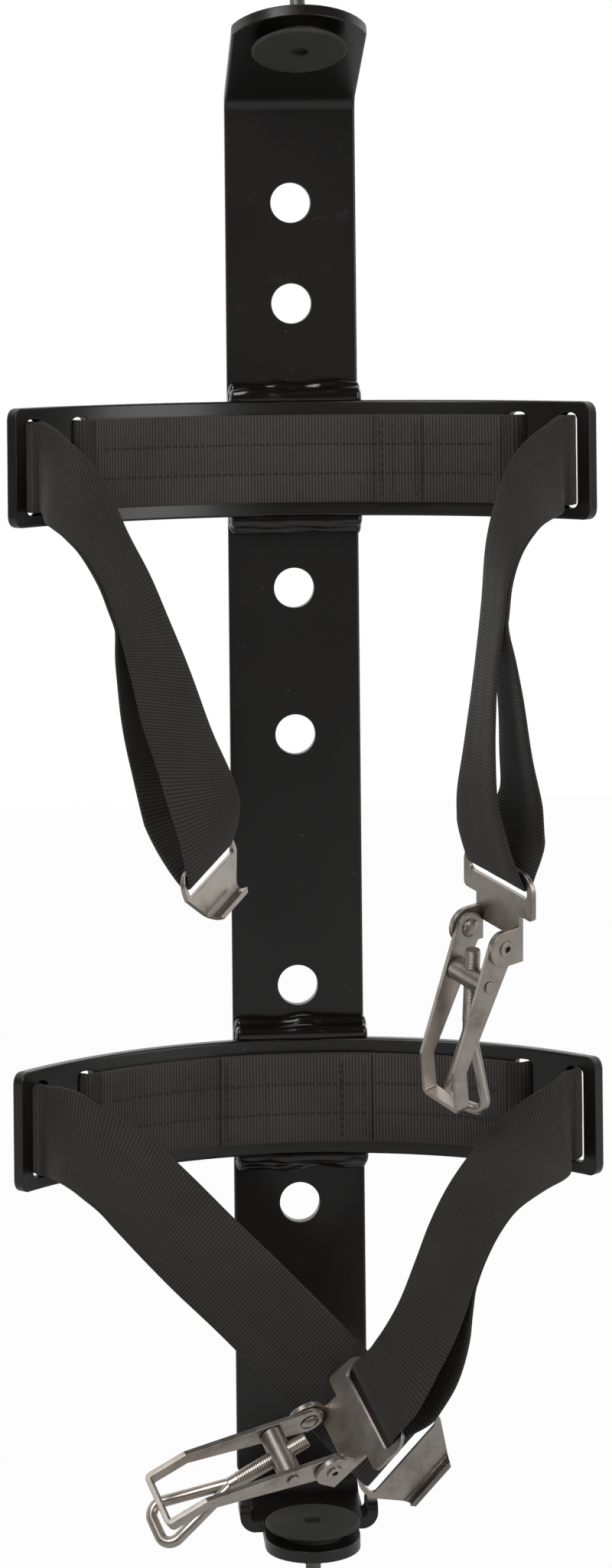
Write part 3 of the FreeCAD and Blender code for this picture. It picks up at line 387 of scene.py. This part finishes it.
def webbing_material(sizes, name, yarn_colour):
    """Ribbed charcoal webbing. The mesh carries its own place across and along the weave."""
    material, graph = new_material(name)
    place = graph.place()
    across, along = graph.attribute("across"), graph.attribute("along")
    wander = graph.noise(place, 160.0, 2.0) - 0.5
    turn = along / sizes.rib_pitch + 0.12 * wander
    rib = abs((turn * math.pi).sin())
    yarn = abs((across * (math.pi / sizes.yarn_pitch) + turn.floor() * (math.pi / 2)).sin())
    groove = 1 - abs(abs(across) - GROOVE).band(0.0, 0.0006)
    weave = rib * 0.8 + yarn * 0.2
    worn = graph.noise(place, 38.0, 4.0)
    fluff = graph.noise(place, 1500.0, 2.0)
    height = weave - 0.25 * groove + 0.05 * fluff
    # Colour is painted shade and light: darker in the troughs between ribs and in the sewn grooves, lighter
    # on the crests; the large noise patches are wear
    weave_shade_and_wear = 0.2 + 1.15 * weave - 0.1 * groove + 0.7 * (worn - 0.5)
    graph.surface({
        "Base Color": graph.shade(tuple(yarn_colour), weave_shade_and_wear),
        "Roughness": 0.62 + 0.2 * (1 - weave),
        "Specular IOR Level": 0.4,
        "Sheen Weight": 0.12,
        "Sheen Roughness": 0.4,
        "Normal": graph.bump(height, 0.00034, 1.0),
    })
    return material


def stitching_material(finishes):
    """Twisted sewing thread, a little glossier than the webbing."""
    material, graph = new_material("sewing_thread")
    place = graph.place()
    twist = graph.noise(place, 2600.0, 2.0)
    graph.surface({
        "Base Color": graph.shade(tuple(finishes.stitching), 0.6 + 0.8 * twist),
        "Roughness": 0.42 + 0.2 * twist,
        "Normal": graph.bump(twist, 0.00006),
    })
    return material


def stainless_material(finishes, sizes):
    """Tumbled stainless steel with handling marks, patches of grime, and painted shade darkening its corners.
    """
    material, graph = new_material("satin_stainless")
    place = graph.place()
    cloud = graph.noise(place, 130.0, 4.0, 0.6)
    dents = graph.noise(place, 110.0, 1.0)
    scratches = graph.noise(place, 700.0, 5.0, 0.75).band(0.60, 0.68)
    # Ambient occlusion darkens the corners in the base colour: painted shade, added to noise patches of grime
    corner = graph.node("AmbientOcclusion", {"samples": 4, "only_local": False}, {"Distance": 0.004}, "AO")
    grime_and_corner_shade = (1 - corner.band(0.15, 0.75)) * 0.7 + graph.noise(place, 60.0, 5.0, 0.65).band(0.50, 0.72) * 0.45
    colour = graph.mix(grime_and_corner_shade.clamped(), opaque(finishes.stainless), opaque(GRIME_AND_SHADE_COLOUR))
    graph.surface({
        "Base Color": graph.shade(colour, 0.72 + 0.55 * cloud),
        "Metallic": 1.0,
        "Roughness": 0.24 + 0.2 * cloud + 0.05 * scratches + 0.12 * grime_and_corner_shade,
        "Normal": graph.bump(dents, 0.00006, 0.6, graph.edges(sizes.edge_round)),
    })
    return material


def plated_material(finishes, sizes):
    """Dull zinc plate on the small screws and nuts."""
    material, graph = new_material("dull_zinc")
    place = graph.place()
    bloom = graph.noise(place, 320.0, 4.0)
    graph.surface({
        "Base Color": graph.shade(tuple(finishes.plated), 0.7 + 0.6 * bloom),
        "Metallic": 1.0,
        "Roughness": 0.38 + 0.25 * bloom,
        "Normal": graph.bump(bloom, 0.00004, 0.6, graph.edges(sizes.edge_round)),
    })
    return material


def rubber_material(finishes, sizes):
    """Matt moulded rubber with a dusty bloom."""
    material, graph = new_material("matt_rubber")
    place = graph.place()
    bloom = graph.noise(place, 75.0, 5.0, 0.6)
    pore = graph.noise(place, 1300.0, 2.0)
    bloomed = graph.mix(bloom.band(0.45, 0.75) * 0.5, opaque(finishes.rubber), opaque(BLOOM_COLOUR))
    graph.surface({
        "Base Color": graph.shade(bloomed, 0.8 + 0.4 * pore),
        "Roughness": 0.66 + 0.16 * bloom,
        "Normal": graph.bump(pore, 0.00005, 0.7, graph.edges(sizes.edge_round)),
    })
    return material


def settings(context):
    scene = context.scene
    return scene.bracket_finishes, scene.bracket_sizes, scene.bracket_studio


def finish_nodes(names, material):
    """Gives frame nodes their finish."""
    for name in names:
        node = frame["nodes"][name]
        node.data.materials.clear()
        node.data.materials.append(material)


# Meshes

class Shell:
    """Vertices, faces and weave places of one mesh while it is being built."""

    def __init__(self):
        self.points = []
        self.faces = []
        self.across = []
        self.along = []

    def tube(self, rings, across=None, along=None):
        """Closed solid through rings of equally many points."""
        first, count = len(self.points), len(rings[0])
        for i, ring in enumerate(rings):
            self.points += ring
            self.across += across or [0.0] * count
            self.along += [along[i] if along else 0.0] * count
        for i in range(len(rings) - 1):
            for k in range(count):
                a, b = first + i * count + k, first + i * count + (k + 1) % count
                self.faces.append((a, b, b + count, a + count))
        last = first + (len(rings) - 1) * count
        self.faces.append(tuple(range(first + count - 1, first - 1, -1)))
        self.faces.append(tuple(range(last, last + count)))

    def make(self, name, material, slot, body, *nodes):
        """Mesh object that rides on a body and stands for the named nodes."""
        mesh = bpy.data.meshes.new(name)
        mesh.from_pydata([tuple(point) for point in self.points], [], self.faces)
        for label, values in (("across", self.across), ("along", self.along)):
            mesh.attributes.new(label, "FLOAT", "POINT").data.foreach_set("value", values)
        mesh.shade_smooth()
        mesh.materials.append(material)
        mesh.update()
        piece = bpy.data.objects.new(name, mesh)
        bpy.context.scene.collection.objects.link(piece)
        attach(piece, body)
        if nodes:
            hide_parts(*nodes)
        return piece


def through(points, steps):
    """Smooth curve through points, as a list with the given steps in each span."""
    ends = [points[0] * 2 - points[1]] + points + [points[-1] * 2 - points[-2]]
    found = []
    for i in range(1, len(ends) - 2):
        a, b, c, d = ends[i - 1:i + 3]
        for k in range(steps):
            t = k / steps
            found.append((b * 2 + (c - a) * t + (a * 2 - b * 5 + c * 4 - d) * t ** 2
                          + (b * 3 - a - c * 3 + d) * t ** 3) * 0.5)
    return found + [points[-1]]


def cradle_point(cradle, offset, depth):
    """Point by its arc length from the middle and its depth behind the cradle's front face."""
    angle = offset / CRADLE_RADIUS
    radius = CRADLE_RADIUS + depth
    return Vector((radius * math.sin(angle), CRADLE_AXIS_Y + radius * math.cos(angle), CRADLE_Z[cradle]))


def cradle_facing(offset):
    """Way out of the cradle's front face at an arc length."""
    return Vector((-math.sin(offset / CRADLE_RADIUS), -math.cos(offset / CRADLE_RADIUS), 0))


def webbing_section():
    """Outline of the webbing: its place across and through, with round edges and two sewn grooves."""
    half, thick = WEB_WIDTH / 2, WEB_THICKNESS / 2
    spots = [(half - WEB_SHOULDER, 1.0), SIDE_SWELL, (GROOVE + GROOVE_HALF_WIDTH, 1.0),
             (GROOVE, GROOVE_HEIGHT), (GROOVE - GROOVE_HALF_WIDTH, 1.0), MIDDLE_SWELL]
    face = [(-x, rise) for x, rise in spots] + [(x, rise) for x, rise in spots[-2::-1]]
    edge = [(half - WEB_EDGE_ROUND, WEB_EDGE_HEIGHT), (half, 0.0), (half - WEB_EDGE_ROUND, -WEB_EDGE_HEIGHT)]
    front = [(x, rise * thick) for x, rise in face + edge]
    return front + [(-x, -rise) for x, rise in front]


def ribbon(shell, centres, widths, normals, flutter=FLUTTER):
    """Adds one layer of webbing through its stations."""
    section = webbing_section()
    along = [0.0]
    for before, after in zip(centres, centres[1:]):
        along.append(along[-1] + (after - before).length)
    rings = []
    for centre, width, normal in zip(centres, widths, normals):
        ring = []
        for x, rise in section:
            point = centre + width * x + normal * rise
            ring.append(point + normal * (flutter * noise.noise(point * FLUTTER_SCALE)))
        rings.append(ring)
    shell.tube(rings, [x for x, rise in section], along)


def slot_route(side, cradle):
    """Route of the doubled webbing: pad end, inner slot, behind the bar, outer slot, front."""
    stack = WEB_THICKNESS + LAYER_GAP
    behind = BAR_THICKNESS + stack + LAYER_GAP
    half = SLOT_WIDTH / 2
    spots = [(PAD_END + PAD_JOIN_GAP, -stack)]
    spots += [(INNER_SLOT + step, depth) for step, depth in INNER_SLOT_WAY]
    spots += [(INNER_SLOT + half, behind), (INNER_SLOT + half + SLOT_BAR_WIDTH / 2, behind),
              (OUTER_SLOT - half, behind)]
    spots += [(OUTER_SLOT + step, depth) for step, depth in OUTER_SLOT_WAY]
    return [cradle_point(cradle, side * offset, depth) for offset, depth in spots]


def bridge(start, start_way, end, end_way):
    """Points of a smooth run between two places that leaves and arrives along the given ways."""
    pull = (end - start).length * BRIDGE_PULL
    points = []
    for k in range(BRIDGE_STEPS):
        t = (k + 1) / (BRIDGE_STEPS + 1)
        points.append(start * (2 * t ** 3 - 3 * t ** 2 + 1) + start_way * (pull * (t ** 3 - 2 * t ** 2 + t))
                      + end * (3 * t ** 2 - 2 * t ** 3) + end_way * (pull * (t ** 3 - t ** 2)))
    return points


def build_strap(shell, side, cradle, hang, joint, along):
    """Webbing from a pad through both slots, down round a plate and back again."""
    stack = WEB_THICKNESS + LAYER_GAP
    edge = Vector(JOINTS[joint]["pos_m"])
    across = Vector(JOINTS[joint]["axis"])
    along = Vector(along).normalized()
    front = across.cross(along).normalized()
    fixed = slot_route(side, cradle)
    stations = [(Vector(spot) * MM, Vector(way), space * MM) for spot, way, space in hang]
    centres = through(fixed + [spot for spot, way, space in stations], SPAN_STEPS)
    ways = through([UP] * len(fixed) + [way for spot, way, space in stations], SPAN_STEPS)
    spaces = through([0.0] * len(fixed) + [space for spot, way, space in stations], SPAN_STEPS)
    widths = [way.normalized() for way in ways]
    front_layer, back_layer, facing = [], [], []
    for i, centre in enumerate(centres):
        run = centres[min(i + 1, len(centres) - 1)] - centres[max(i - 1, 0)]
        normal = run.cross(widths[i]).normalized() * side
        facing.append(normal)
        front_layer.append(centre - normal * (stack / 2))
        back_layer.append(centre + normal * (stack / 2 + max(spaces[i], 0.0)))
    turn = []
    for i in range(TURN_STEPS + 1):
        angle = LOOP_OPENING + i * (math.pi - 2 * LOOP_OPENING) / TURN_STEPS
        turn.append(edge + (front * math.cos(angle) + along * math.sin(angle)) * LOOP_RADIUS)
    bar_way = across * math.copysign(1, widths[-1].dot(across))
    inward = [(edge - point).normalized() for point in turn]
    run = (centres[-1] - centres[-2]).normalized()
    sweep = along * math.cos(LOOP_OPENING)
    lift = front * math.sin(LOOP_OPENING)
    front_bridge = bridge(front_layer[-1], run, turn[0], sweep - lift)
    back_bridge = bridge(back_layer[-1], run, turn[-1], sweep + lift)
    shares = [(k + 1) / (BRIDGE_STEPS + 1) for k in range(BRIDGE_STEPS)]
    twist = [widths[-1].lerp(bar_way, share).normalized() for share in shares]
    front_facing = [facing[-1].lerp(inward[0], share).normalized() for share in shares]
    back_facing = [(-facing[-1]).lerp(inward[-1], share).normalized() for share in shares]
    ribbon(shell, front_layer + front_bridge + turn + back_bridge[::-1] + back_layer[::-1],
           widths + twist + [bar_way] * len(turn) + twist[::-1] + widths[::-1],
           facing + front_facing + inward + back_facing[::-1] + [-normal for normal in facing[::-1]])


def add_stitch(shell, start, end, normal, radius):
    """One stitch: a short spindle of thread that dips into the cloth at both ends."""
    run = end - start
    side = run.cross(normal).normalized()
    rings = []
    for share, fat, rise in STITCH_PROFILE:
        centre = start + run * share + normal * (radius * rise)
        rings.append([centre + (side * math.cos(turn) + normal * math.sin(turn)) * (radius * fat)
                      for turn in (math.tau * k / STITCH_SIDES for k in range(STITCH_SIDES))])
    shell.tube(rings)


def pad_front(name, offset):
    """Depth of a pad's front face at an arc length."""
    low, high = PAD_LAP[name]
    layers = 3 if low <= offset <= high else 2
    return -layers * WEB_THICKNESS


def stitch_rows(shell, name, sizes):
    """Two rows along the pad and one across it at each seam."""
    reach = PAD_END - ROW_MARGIN
    count = int(2 * reach / sizes.stitch_pitch)
    half = sizes.stitch_length / 2
    for height in (-GROOVE, GROOVE):
        for i in range(count):
            offset = -reach + (i + 0.5) * sizes.stitch_pitch
            depth = pad_front(name, offset)
            ends = [cradle_point(name, offset + step, depth) + UP * height for step in (-half, half)]
            add_stitch(shell, *ends, cradle_facing(offset), sizes.stitch_radius)
    tall = WEB_WIDTH / 2 - SEAM_MARGIN
    for seam in PAD_SEAMS[name]:
        depth = pad_front(name, seam)
        for i in range(int(2 * tall / sizes.stitch_pitch)):
            middle = -tall + (i + 0.5) * sizes.stitch_pitch
            ends = [cradle_point(name, seam, depth) + UP * (middle + step) for step in (-half, half)]
            add_stitch(shell, *ends, cradle_facing(seam), sizes.stitch_radius)


def pad_layer(shell, name, layer, start, end):
    """Adds one layer of webbing that follows the cradle between two arc lengths."""
    steps = max(8, int((end - start) / PAD_STEP))
    centres, normals = [], []
    for i in range(steps + 1):
        offset = start + (end - start) * i / steps
        pinch = sum(math.exp(-((offset - seam) / SEAM_SPREAD) ** 2) for seam in PAD_SEAMS[name])
        depth = -(layer + 0.5) * WEB_THICKNESS + SEAM_DEPTH * min(pinch, 1.0)
        centres.append(cradle_point(name, offset, depth))
        normals.append(cradle_facing(offset))
    ribbon(shell, centres, [UP] * len(centres), normals, PAD_FLUTTER)


def lay_bead(shell, corner_y, corner_z, up, lump):
    """One fillet weld along X: a lumpy rounded ridge in a corner, a little past the bar's right edge."""
    start, end = -BAR_HALF_WIDTH + BEAD_INSET, BAR_HALF_WIDTH + BEAD_OVERRUN
    seed = up * BEAD_SEED.x + corner_z * BEAD_SEED.y, corner_y * BEAD_SEED.z
    rings = []
    for i in range(BEAD_STATIONS + 1):
        share = i / BEAD_STATIONS
        x = start + (end - start) * share
        from_end = min(share, 1 - share) * (end - start)
        cap = math.sqrt(1 - (1 - min(from_end / BEAD_CAP, 1.0)) ** 2)
        wander = 1 + BEAD_SWELL * noise.noise(Vector((x / lump, *seed)))
        ring = []
        for k in range(BEAD_POINTS + 1):
            angle = k / BEAD_POINTS * math.pi / 2
            bulge = 1 + BEAD_BULGE * math.sin(2 * angle) ** 2
            reach = BEAD_LEG * BEAD_SPREAD * wander * bulge * max(cap, BEAD_LEAST)
            ring.append(Vector((x, corner_y - reach * math.sin(angle),
                                corner_z + up * reach * math.cos(angle))))
        ring.append(Vector((x, corner_y + BEAD_ROOT, corner_z - up * BEAD_ROOT)))
        rings.append(ring if up > 0 else ring[::-1])
    shell.tube(rings)


def cut_thread(shell, centre, axis, pitch):
    """Helical ridge that winds along a shank."""
    axis = axis.normalized()
    side = axis.orthogonal().normalized()
    other = axis.cross(side)
    turns = (THREAD_END - THREAD_START) / pitch
    count = int(turns * THREAD_TURN_STEPS)
    rings = []
    for i in range(count + 1):
        angle = math.tau * i / THREAD_TURN_STEPS
        way = side * math.cos(angle) + other * math.sin(angle)
        middle = centre + axis * (THREAD_START + pitch * i / THREAD_TURN_STEPS)
        fade = min(1.0, i / THREAD_TURN_STEPS, (count - i) / THREAD_TURN_STEPS)
        crest = BOLT_RADIUS + THREAD_CREST * fade
        root = BOLT_RADIUS - THREAD_ROOT
        rings.append([middle + way * root - axis * (pitch * THREAD_ROOT_SHARE),
                      middle + way * crest - axis * (pitch * THREAD_CREST_SHARE),
                      middle + way * crest + axis * (pitch * THREAD_CREST_SHARE),
                      middle + way * root + axis * (pitch * THREAD_ROOT_SHARE)])
    shell.tube(rings)


# Operators

class BRACKET_OT_steel_frame(bpy.types.Operator):
    """Paint the backbone, spacers and cradles"""
    bl_idname = "bracket.steel_frame"
    bl_label = "Paint Steel Frame"

    def execute(self, context):
        finishes, sizes, _ = settings(context)
        names = ["backbone"] + [level + part for level in CRADLE_Z for part in ("_spacer", "_cradle")]
        finish_nodes(names, paint_material(finishes, sizes))
        return {"FINISHED"}


class BRACKET_OT_weld_beads(bpy.types.Operator):
    """Lay the fillet welds between bar, spacers and cradles"""
    bl_idname = "bracket.weld_beads"
    bl_label = "Lay Weld Beads"

    def execute(self, context):
        finishes, sizes, _ = settings(context)
        material = paint_material(finishes, sizes, "enamel_over_weld", WELD_GLOSS)
        for level, middle in CRADLE_Z.items():
            shell = Shell()
            for up in (1, -1):
                lay_bead(shell, -BAR_THICKNESS, middle + up * SPACER_HALF_HEIGHT, up, sizes.bead_lump)
                lay_bead(shell, -SPACER_FRONT, middle + up * CRADLE_HALF_HEIGHT, up, sizes.bead_lump)
            shell.make(level + "_weld_beads", material, "black_paint", "frame", level + "_welds")
        return {"FINISHED"}


class BRACKET_OT_webbing(bpy.types.Operator):
    """Weave the four straps and the two pads and sew the pads down"""
    bl_idname = "bracket.webbing"
    bl_label = "Make Webbing"

    def execute(self, context):
        finishes, sizes, _ = settings(context)
        cloth = webbing_material(sizes, "charcoal_webbing", finishes.webbing)
        # The pads get a lighter webbing colour than the straps
        padding = webbing_material(sizes, "lighter_webbing", finishes.padding)
        thread = stitching_material(finishes)
        for name, route in STRAPS.items():
            shell = Shell()
            build_strap(shell, *route)
            shell.make(name + "_webbing", cloth, "webbing", "frame", name)
        for level in CRADLE_Z:
            shell = Shell()
            for layer in (0, 1):
                pad_layer(shell, level, layer, -PAD_END, PAD_END)
            pad_layer(shell, level, 2, *PAD_LAP[level])
            shell.make(level + "_pad_webbing", padding, "webbing", "frame", level + "_pad")
            rows = Shell()
            stitch_rows(rows, level, sizes)
            rows.make(level + "_pad_stitches", thread, "webbing", "frame")
        return {"FINISHED"}


class BRACKET_OT_latches(bpy.types.Operator):
    """Finish the latches and hook plates and cut the hook bolts' threads"""
    bl_idname = "bracket.latches"
    bl_label = "Finish Latches"

    def execute(self, context):
        finishes, sizes, _ = settings(context)
        steel = stainless_material(finishes, sizes)
        names = [name for name in frame["nodes"] if "_latch_" in name or name.endswith("_hook_plate")]
        finish_nodes(names, steel)
        for level in CRADLE_Z:
            joint = JOINTS[level + "_bolt_screw"]
            shell = Shell()
            cut_thread(shell, Vector(joint["pos_m"]), Vector(joint["axis"]), sizes.thread_pitch)
            shell.make(level + "_bolt_thread", steel, "stainless", level + "_bolt")
        return {"FINISHED"}


class BRACKET_OT_bumpers(bpy.types.Operator):
    """Finish the rubber bumpers with their screws and nuts"""
    bl_idname = "bracket.bumpers"
    bl_label = "Finish Bumpers"

    def execute(self, context):
        finishes, sizes, _ = settings(context)
        ends = ("top", "foot")
        finish_nodes([end + "_bumper" for end in ends], rubber_material(finishes, sizes))
        finish_nodes([end + "_bumper" + part for end in ends for part in ("_screw", "_nut")],
                     plated_material(finishes, sizes))
        return {"FINISHED"}


def add_camera():
    """Camera at the photograph's viewing angle."""
    scene = bpy.context.scene
    ahead = Vector((math.sin(CAMERA_YAW), math.cos(CAMERA_YAW), 0))
    level = Vector((math.cos(CAMERA_YAW), -math.sin(CAMERA_YAW), 0))
    right = level * math.cos(CAMERA_ROLL) - UP * math.sin(CAMERA_ROLL)
    top = UP * math.cos(CAMERA_ROLL) + level * math.sin(CAMERA_ROLL)
    aside = (AXIS_PIXEL - PHOTO_WIDTH / 2) / FOCAL_PIXELS * CAMERA_DISTANCE
    place = CAMERA_AIM - ahead * CAMERA_DISTANCE - right * aside
    data = bpy.data.cameras.new("camera")
    data.sensor_fit = "AUTO"
    data.sensor_width = SENSOR_WIDTH
    data.lens = FOCAL_PIXELS / PHOTO_HEIGHT * SENSOR_WIDTH
    data.shift_y = -(PHOTO_HEIGHT / 2 - HORIZON_PIXEL) / PHOTO_HEIGHT
    camera = bpy.data.objects.new("camera", data)
    camera.matrix_world = Matrix.Translation(place) @ Matrix((right, top, -ahead)).transposed().to_4x4()
    scene.collection.objects.link(camera)
    scene.camera = camera


def add_lamp(name, place, power):
    """Square soft box that faces the middle of the bracket."""
    data = bpy.data.lights.new(name, "AREA")
    data.shape = "SQUARE"
    data.size = LAMP_SIZE
    data.energy = power
    lamp = bpy.data.objects.new(name, data)
    lamp.location = place
    lamp.rotation_euler = (LAMP_AIM - Vector(place)).to_track_quat("-Z", "Y").to_euler()
    bpy.context.scene.collection.objects.link(lamp)


def light_world(studio):
    """White surround for the camera, white behind and dim in front for gloss, even light for the rest."""
    world = bpy.data.worlds.new("studio")
    graph = Graph(world)
    seen = graph.node("LightPath", output="Is Camera Ray")
    through_glass = graph.node("LightPath", output="Is Transmission Ray")
    gloss = graph.node("LightPath", output="Is Glossy Ray")
    way = graph.node("SeparateXYZ", None, {"Vector": graph.node("TexCoord", output="Generated")}, "Y")
    behind = way.band(*BEHIND_BAND)
    shown = (seen + through_glass).clamped()
    level = shown + (1 - shown) * (gloss * (studio.room + (1 - studio.room) * behind)
                                   + (1 - gloss) * studio.ambient)
    background = graph.node("Background", None, {"Color": opaque(WHITE), "Strength": level})
    graph.node("OutputWorld", None, {"Surface": background})
    bpy.context.scene.world = world


def add_floor(studio):
    """Wide pale floor that shows nearly as the surround does, with only a trace of a shadow."""
    material, graph = new_material("pale_floor")
    seen = graph.node("LightPath", output="Is Camera Ray")
    gloss = graph.node("LightPath", output="Is Glossy Ray")
    paper = graph.noise(graph.place(), 3.0)
    pale = graph.mix(paper, *(opaque(colour) for colour in FLOOR_COLOURS))
    matt = graph.node("BsdfPrincipled", None, {"Base Color": pale, "Roughness": 0.9})
    shine = opaque([studio.floor_shine] * 3)
    glow = graph.mix(seen, shine, opaque(WHITE))
    bright = graph.node("Emission", None, {"Color": glow, "Strength": 1.0})
    share = (seen + gloss).clamped() * FLOOR_BRIGHT_SHARE
    mixed = graph.node("MixShader", None, {0: share, 1: matt, 2: bright})
    graph.node("OutputMaterial", None, {"Surface": mixed})
    mesh = bpy.data.meshes.new("floor")
    mesh.from_pydata([(x * FLOOR_HALF_WIDTH, y * FLOOR_HALF_WIDTH, -studio.floor_drop)
                      for x, y in ((-1, -1), (1, -1), (1, 1), (-1, 1))], [], [(0, 1, 2, 3)])
    mesh.materials.append(material)
    floor = bpy.data.objects.new("floor", mesh)
    bpy.context.scene.collection.objects.link(floor)


class BRACKET_OT_stage(bpy.types.Operator):
    """Set the camera, lamps, surround and floor"""
    bl_idname = "bracket.stage"
    bl_label = "Set Stage"

    def execute(self, context):
        studio = settings(context)[2]
        context.scene.view_settings.view_transform = "Standard"
        add_camera()
        add_lamp("key", KEY_PLACE, studio.key)
        add_lamp("fill", FILL_PLACE, studio.fill)
        light_world(studio)
        add_floor(studio)
        return {"FINISHED"}


OPERATORS = (BRACKET_OT_stage, BRACKET_OT_steel_frame, BRACKET_OT_weld_beads, BRACKET_OT_webbing,
             BRACKET_OT_latches, BRACKET_OT_bumpers)


class BRACKET_PT_parts(bpy.types.Panel):
    """Lists what the bracket is made of"""
    bl_idname = "BRACKET_PT_parts"
    bl_label = "Bracket"
    bl_space_type = "VIEW_3D"
    bl_region_type = "UI"
    bl_category = "Bracket"

    def draw(self, context):
        for operator in OPERATORS:
            self.layout.operator(operator.bl_idname)
        for group in settings(context):
            box = self.layout.box()
            for name in group.__annotations__:
                box.prop(group, name)


GROUPS = {"bracket_finishes": BracketFinishes, "bracket_sizes": BracketSizes, "bracket_studio": BracketStudio}


def register():
    for kind in (*GROUPS.values(), *OPERATORS, BRACKET_PT_parts):
        bpy.utils.register_class(kind)
    for name, group in GROUPS.items():
        setattr(bpy.types.Scene, name, PointerProperty(type=group))


def unregister():
    for name in GROUPS:
        delattr(bpy.types.Scene, name)
    for kind in reversed((*GROUPS.values(), *OPERATORS, BRACKET_PT_parts)):
        bpy.utils.unregister_class(kind)


def main():
    """Builds the bracket."""
    register()
    for operator in OPERATORS:
        module, name = operator.bl_idname.split(".")
        getattr(getattr(bpy.ops, module), name)()


if __name__ == "__main__":
    main()
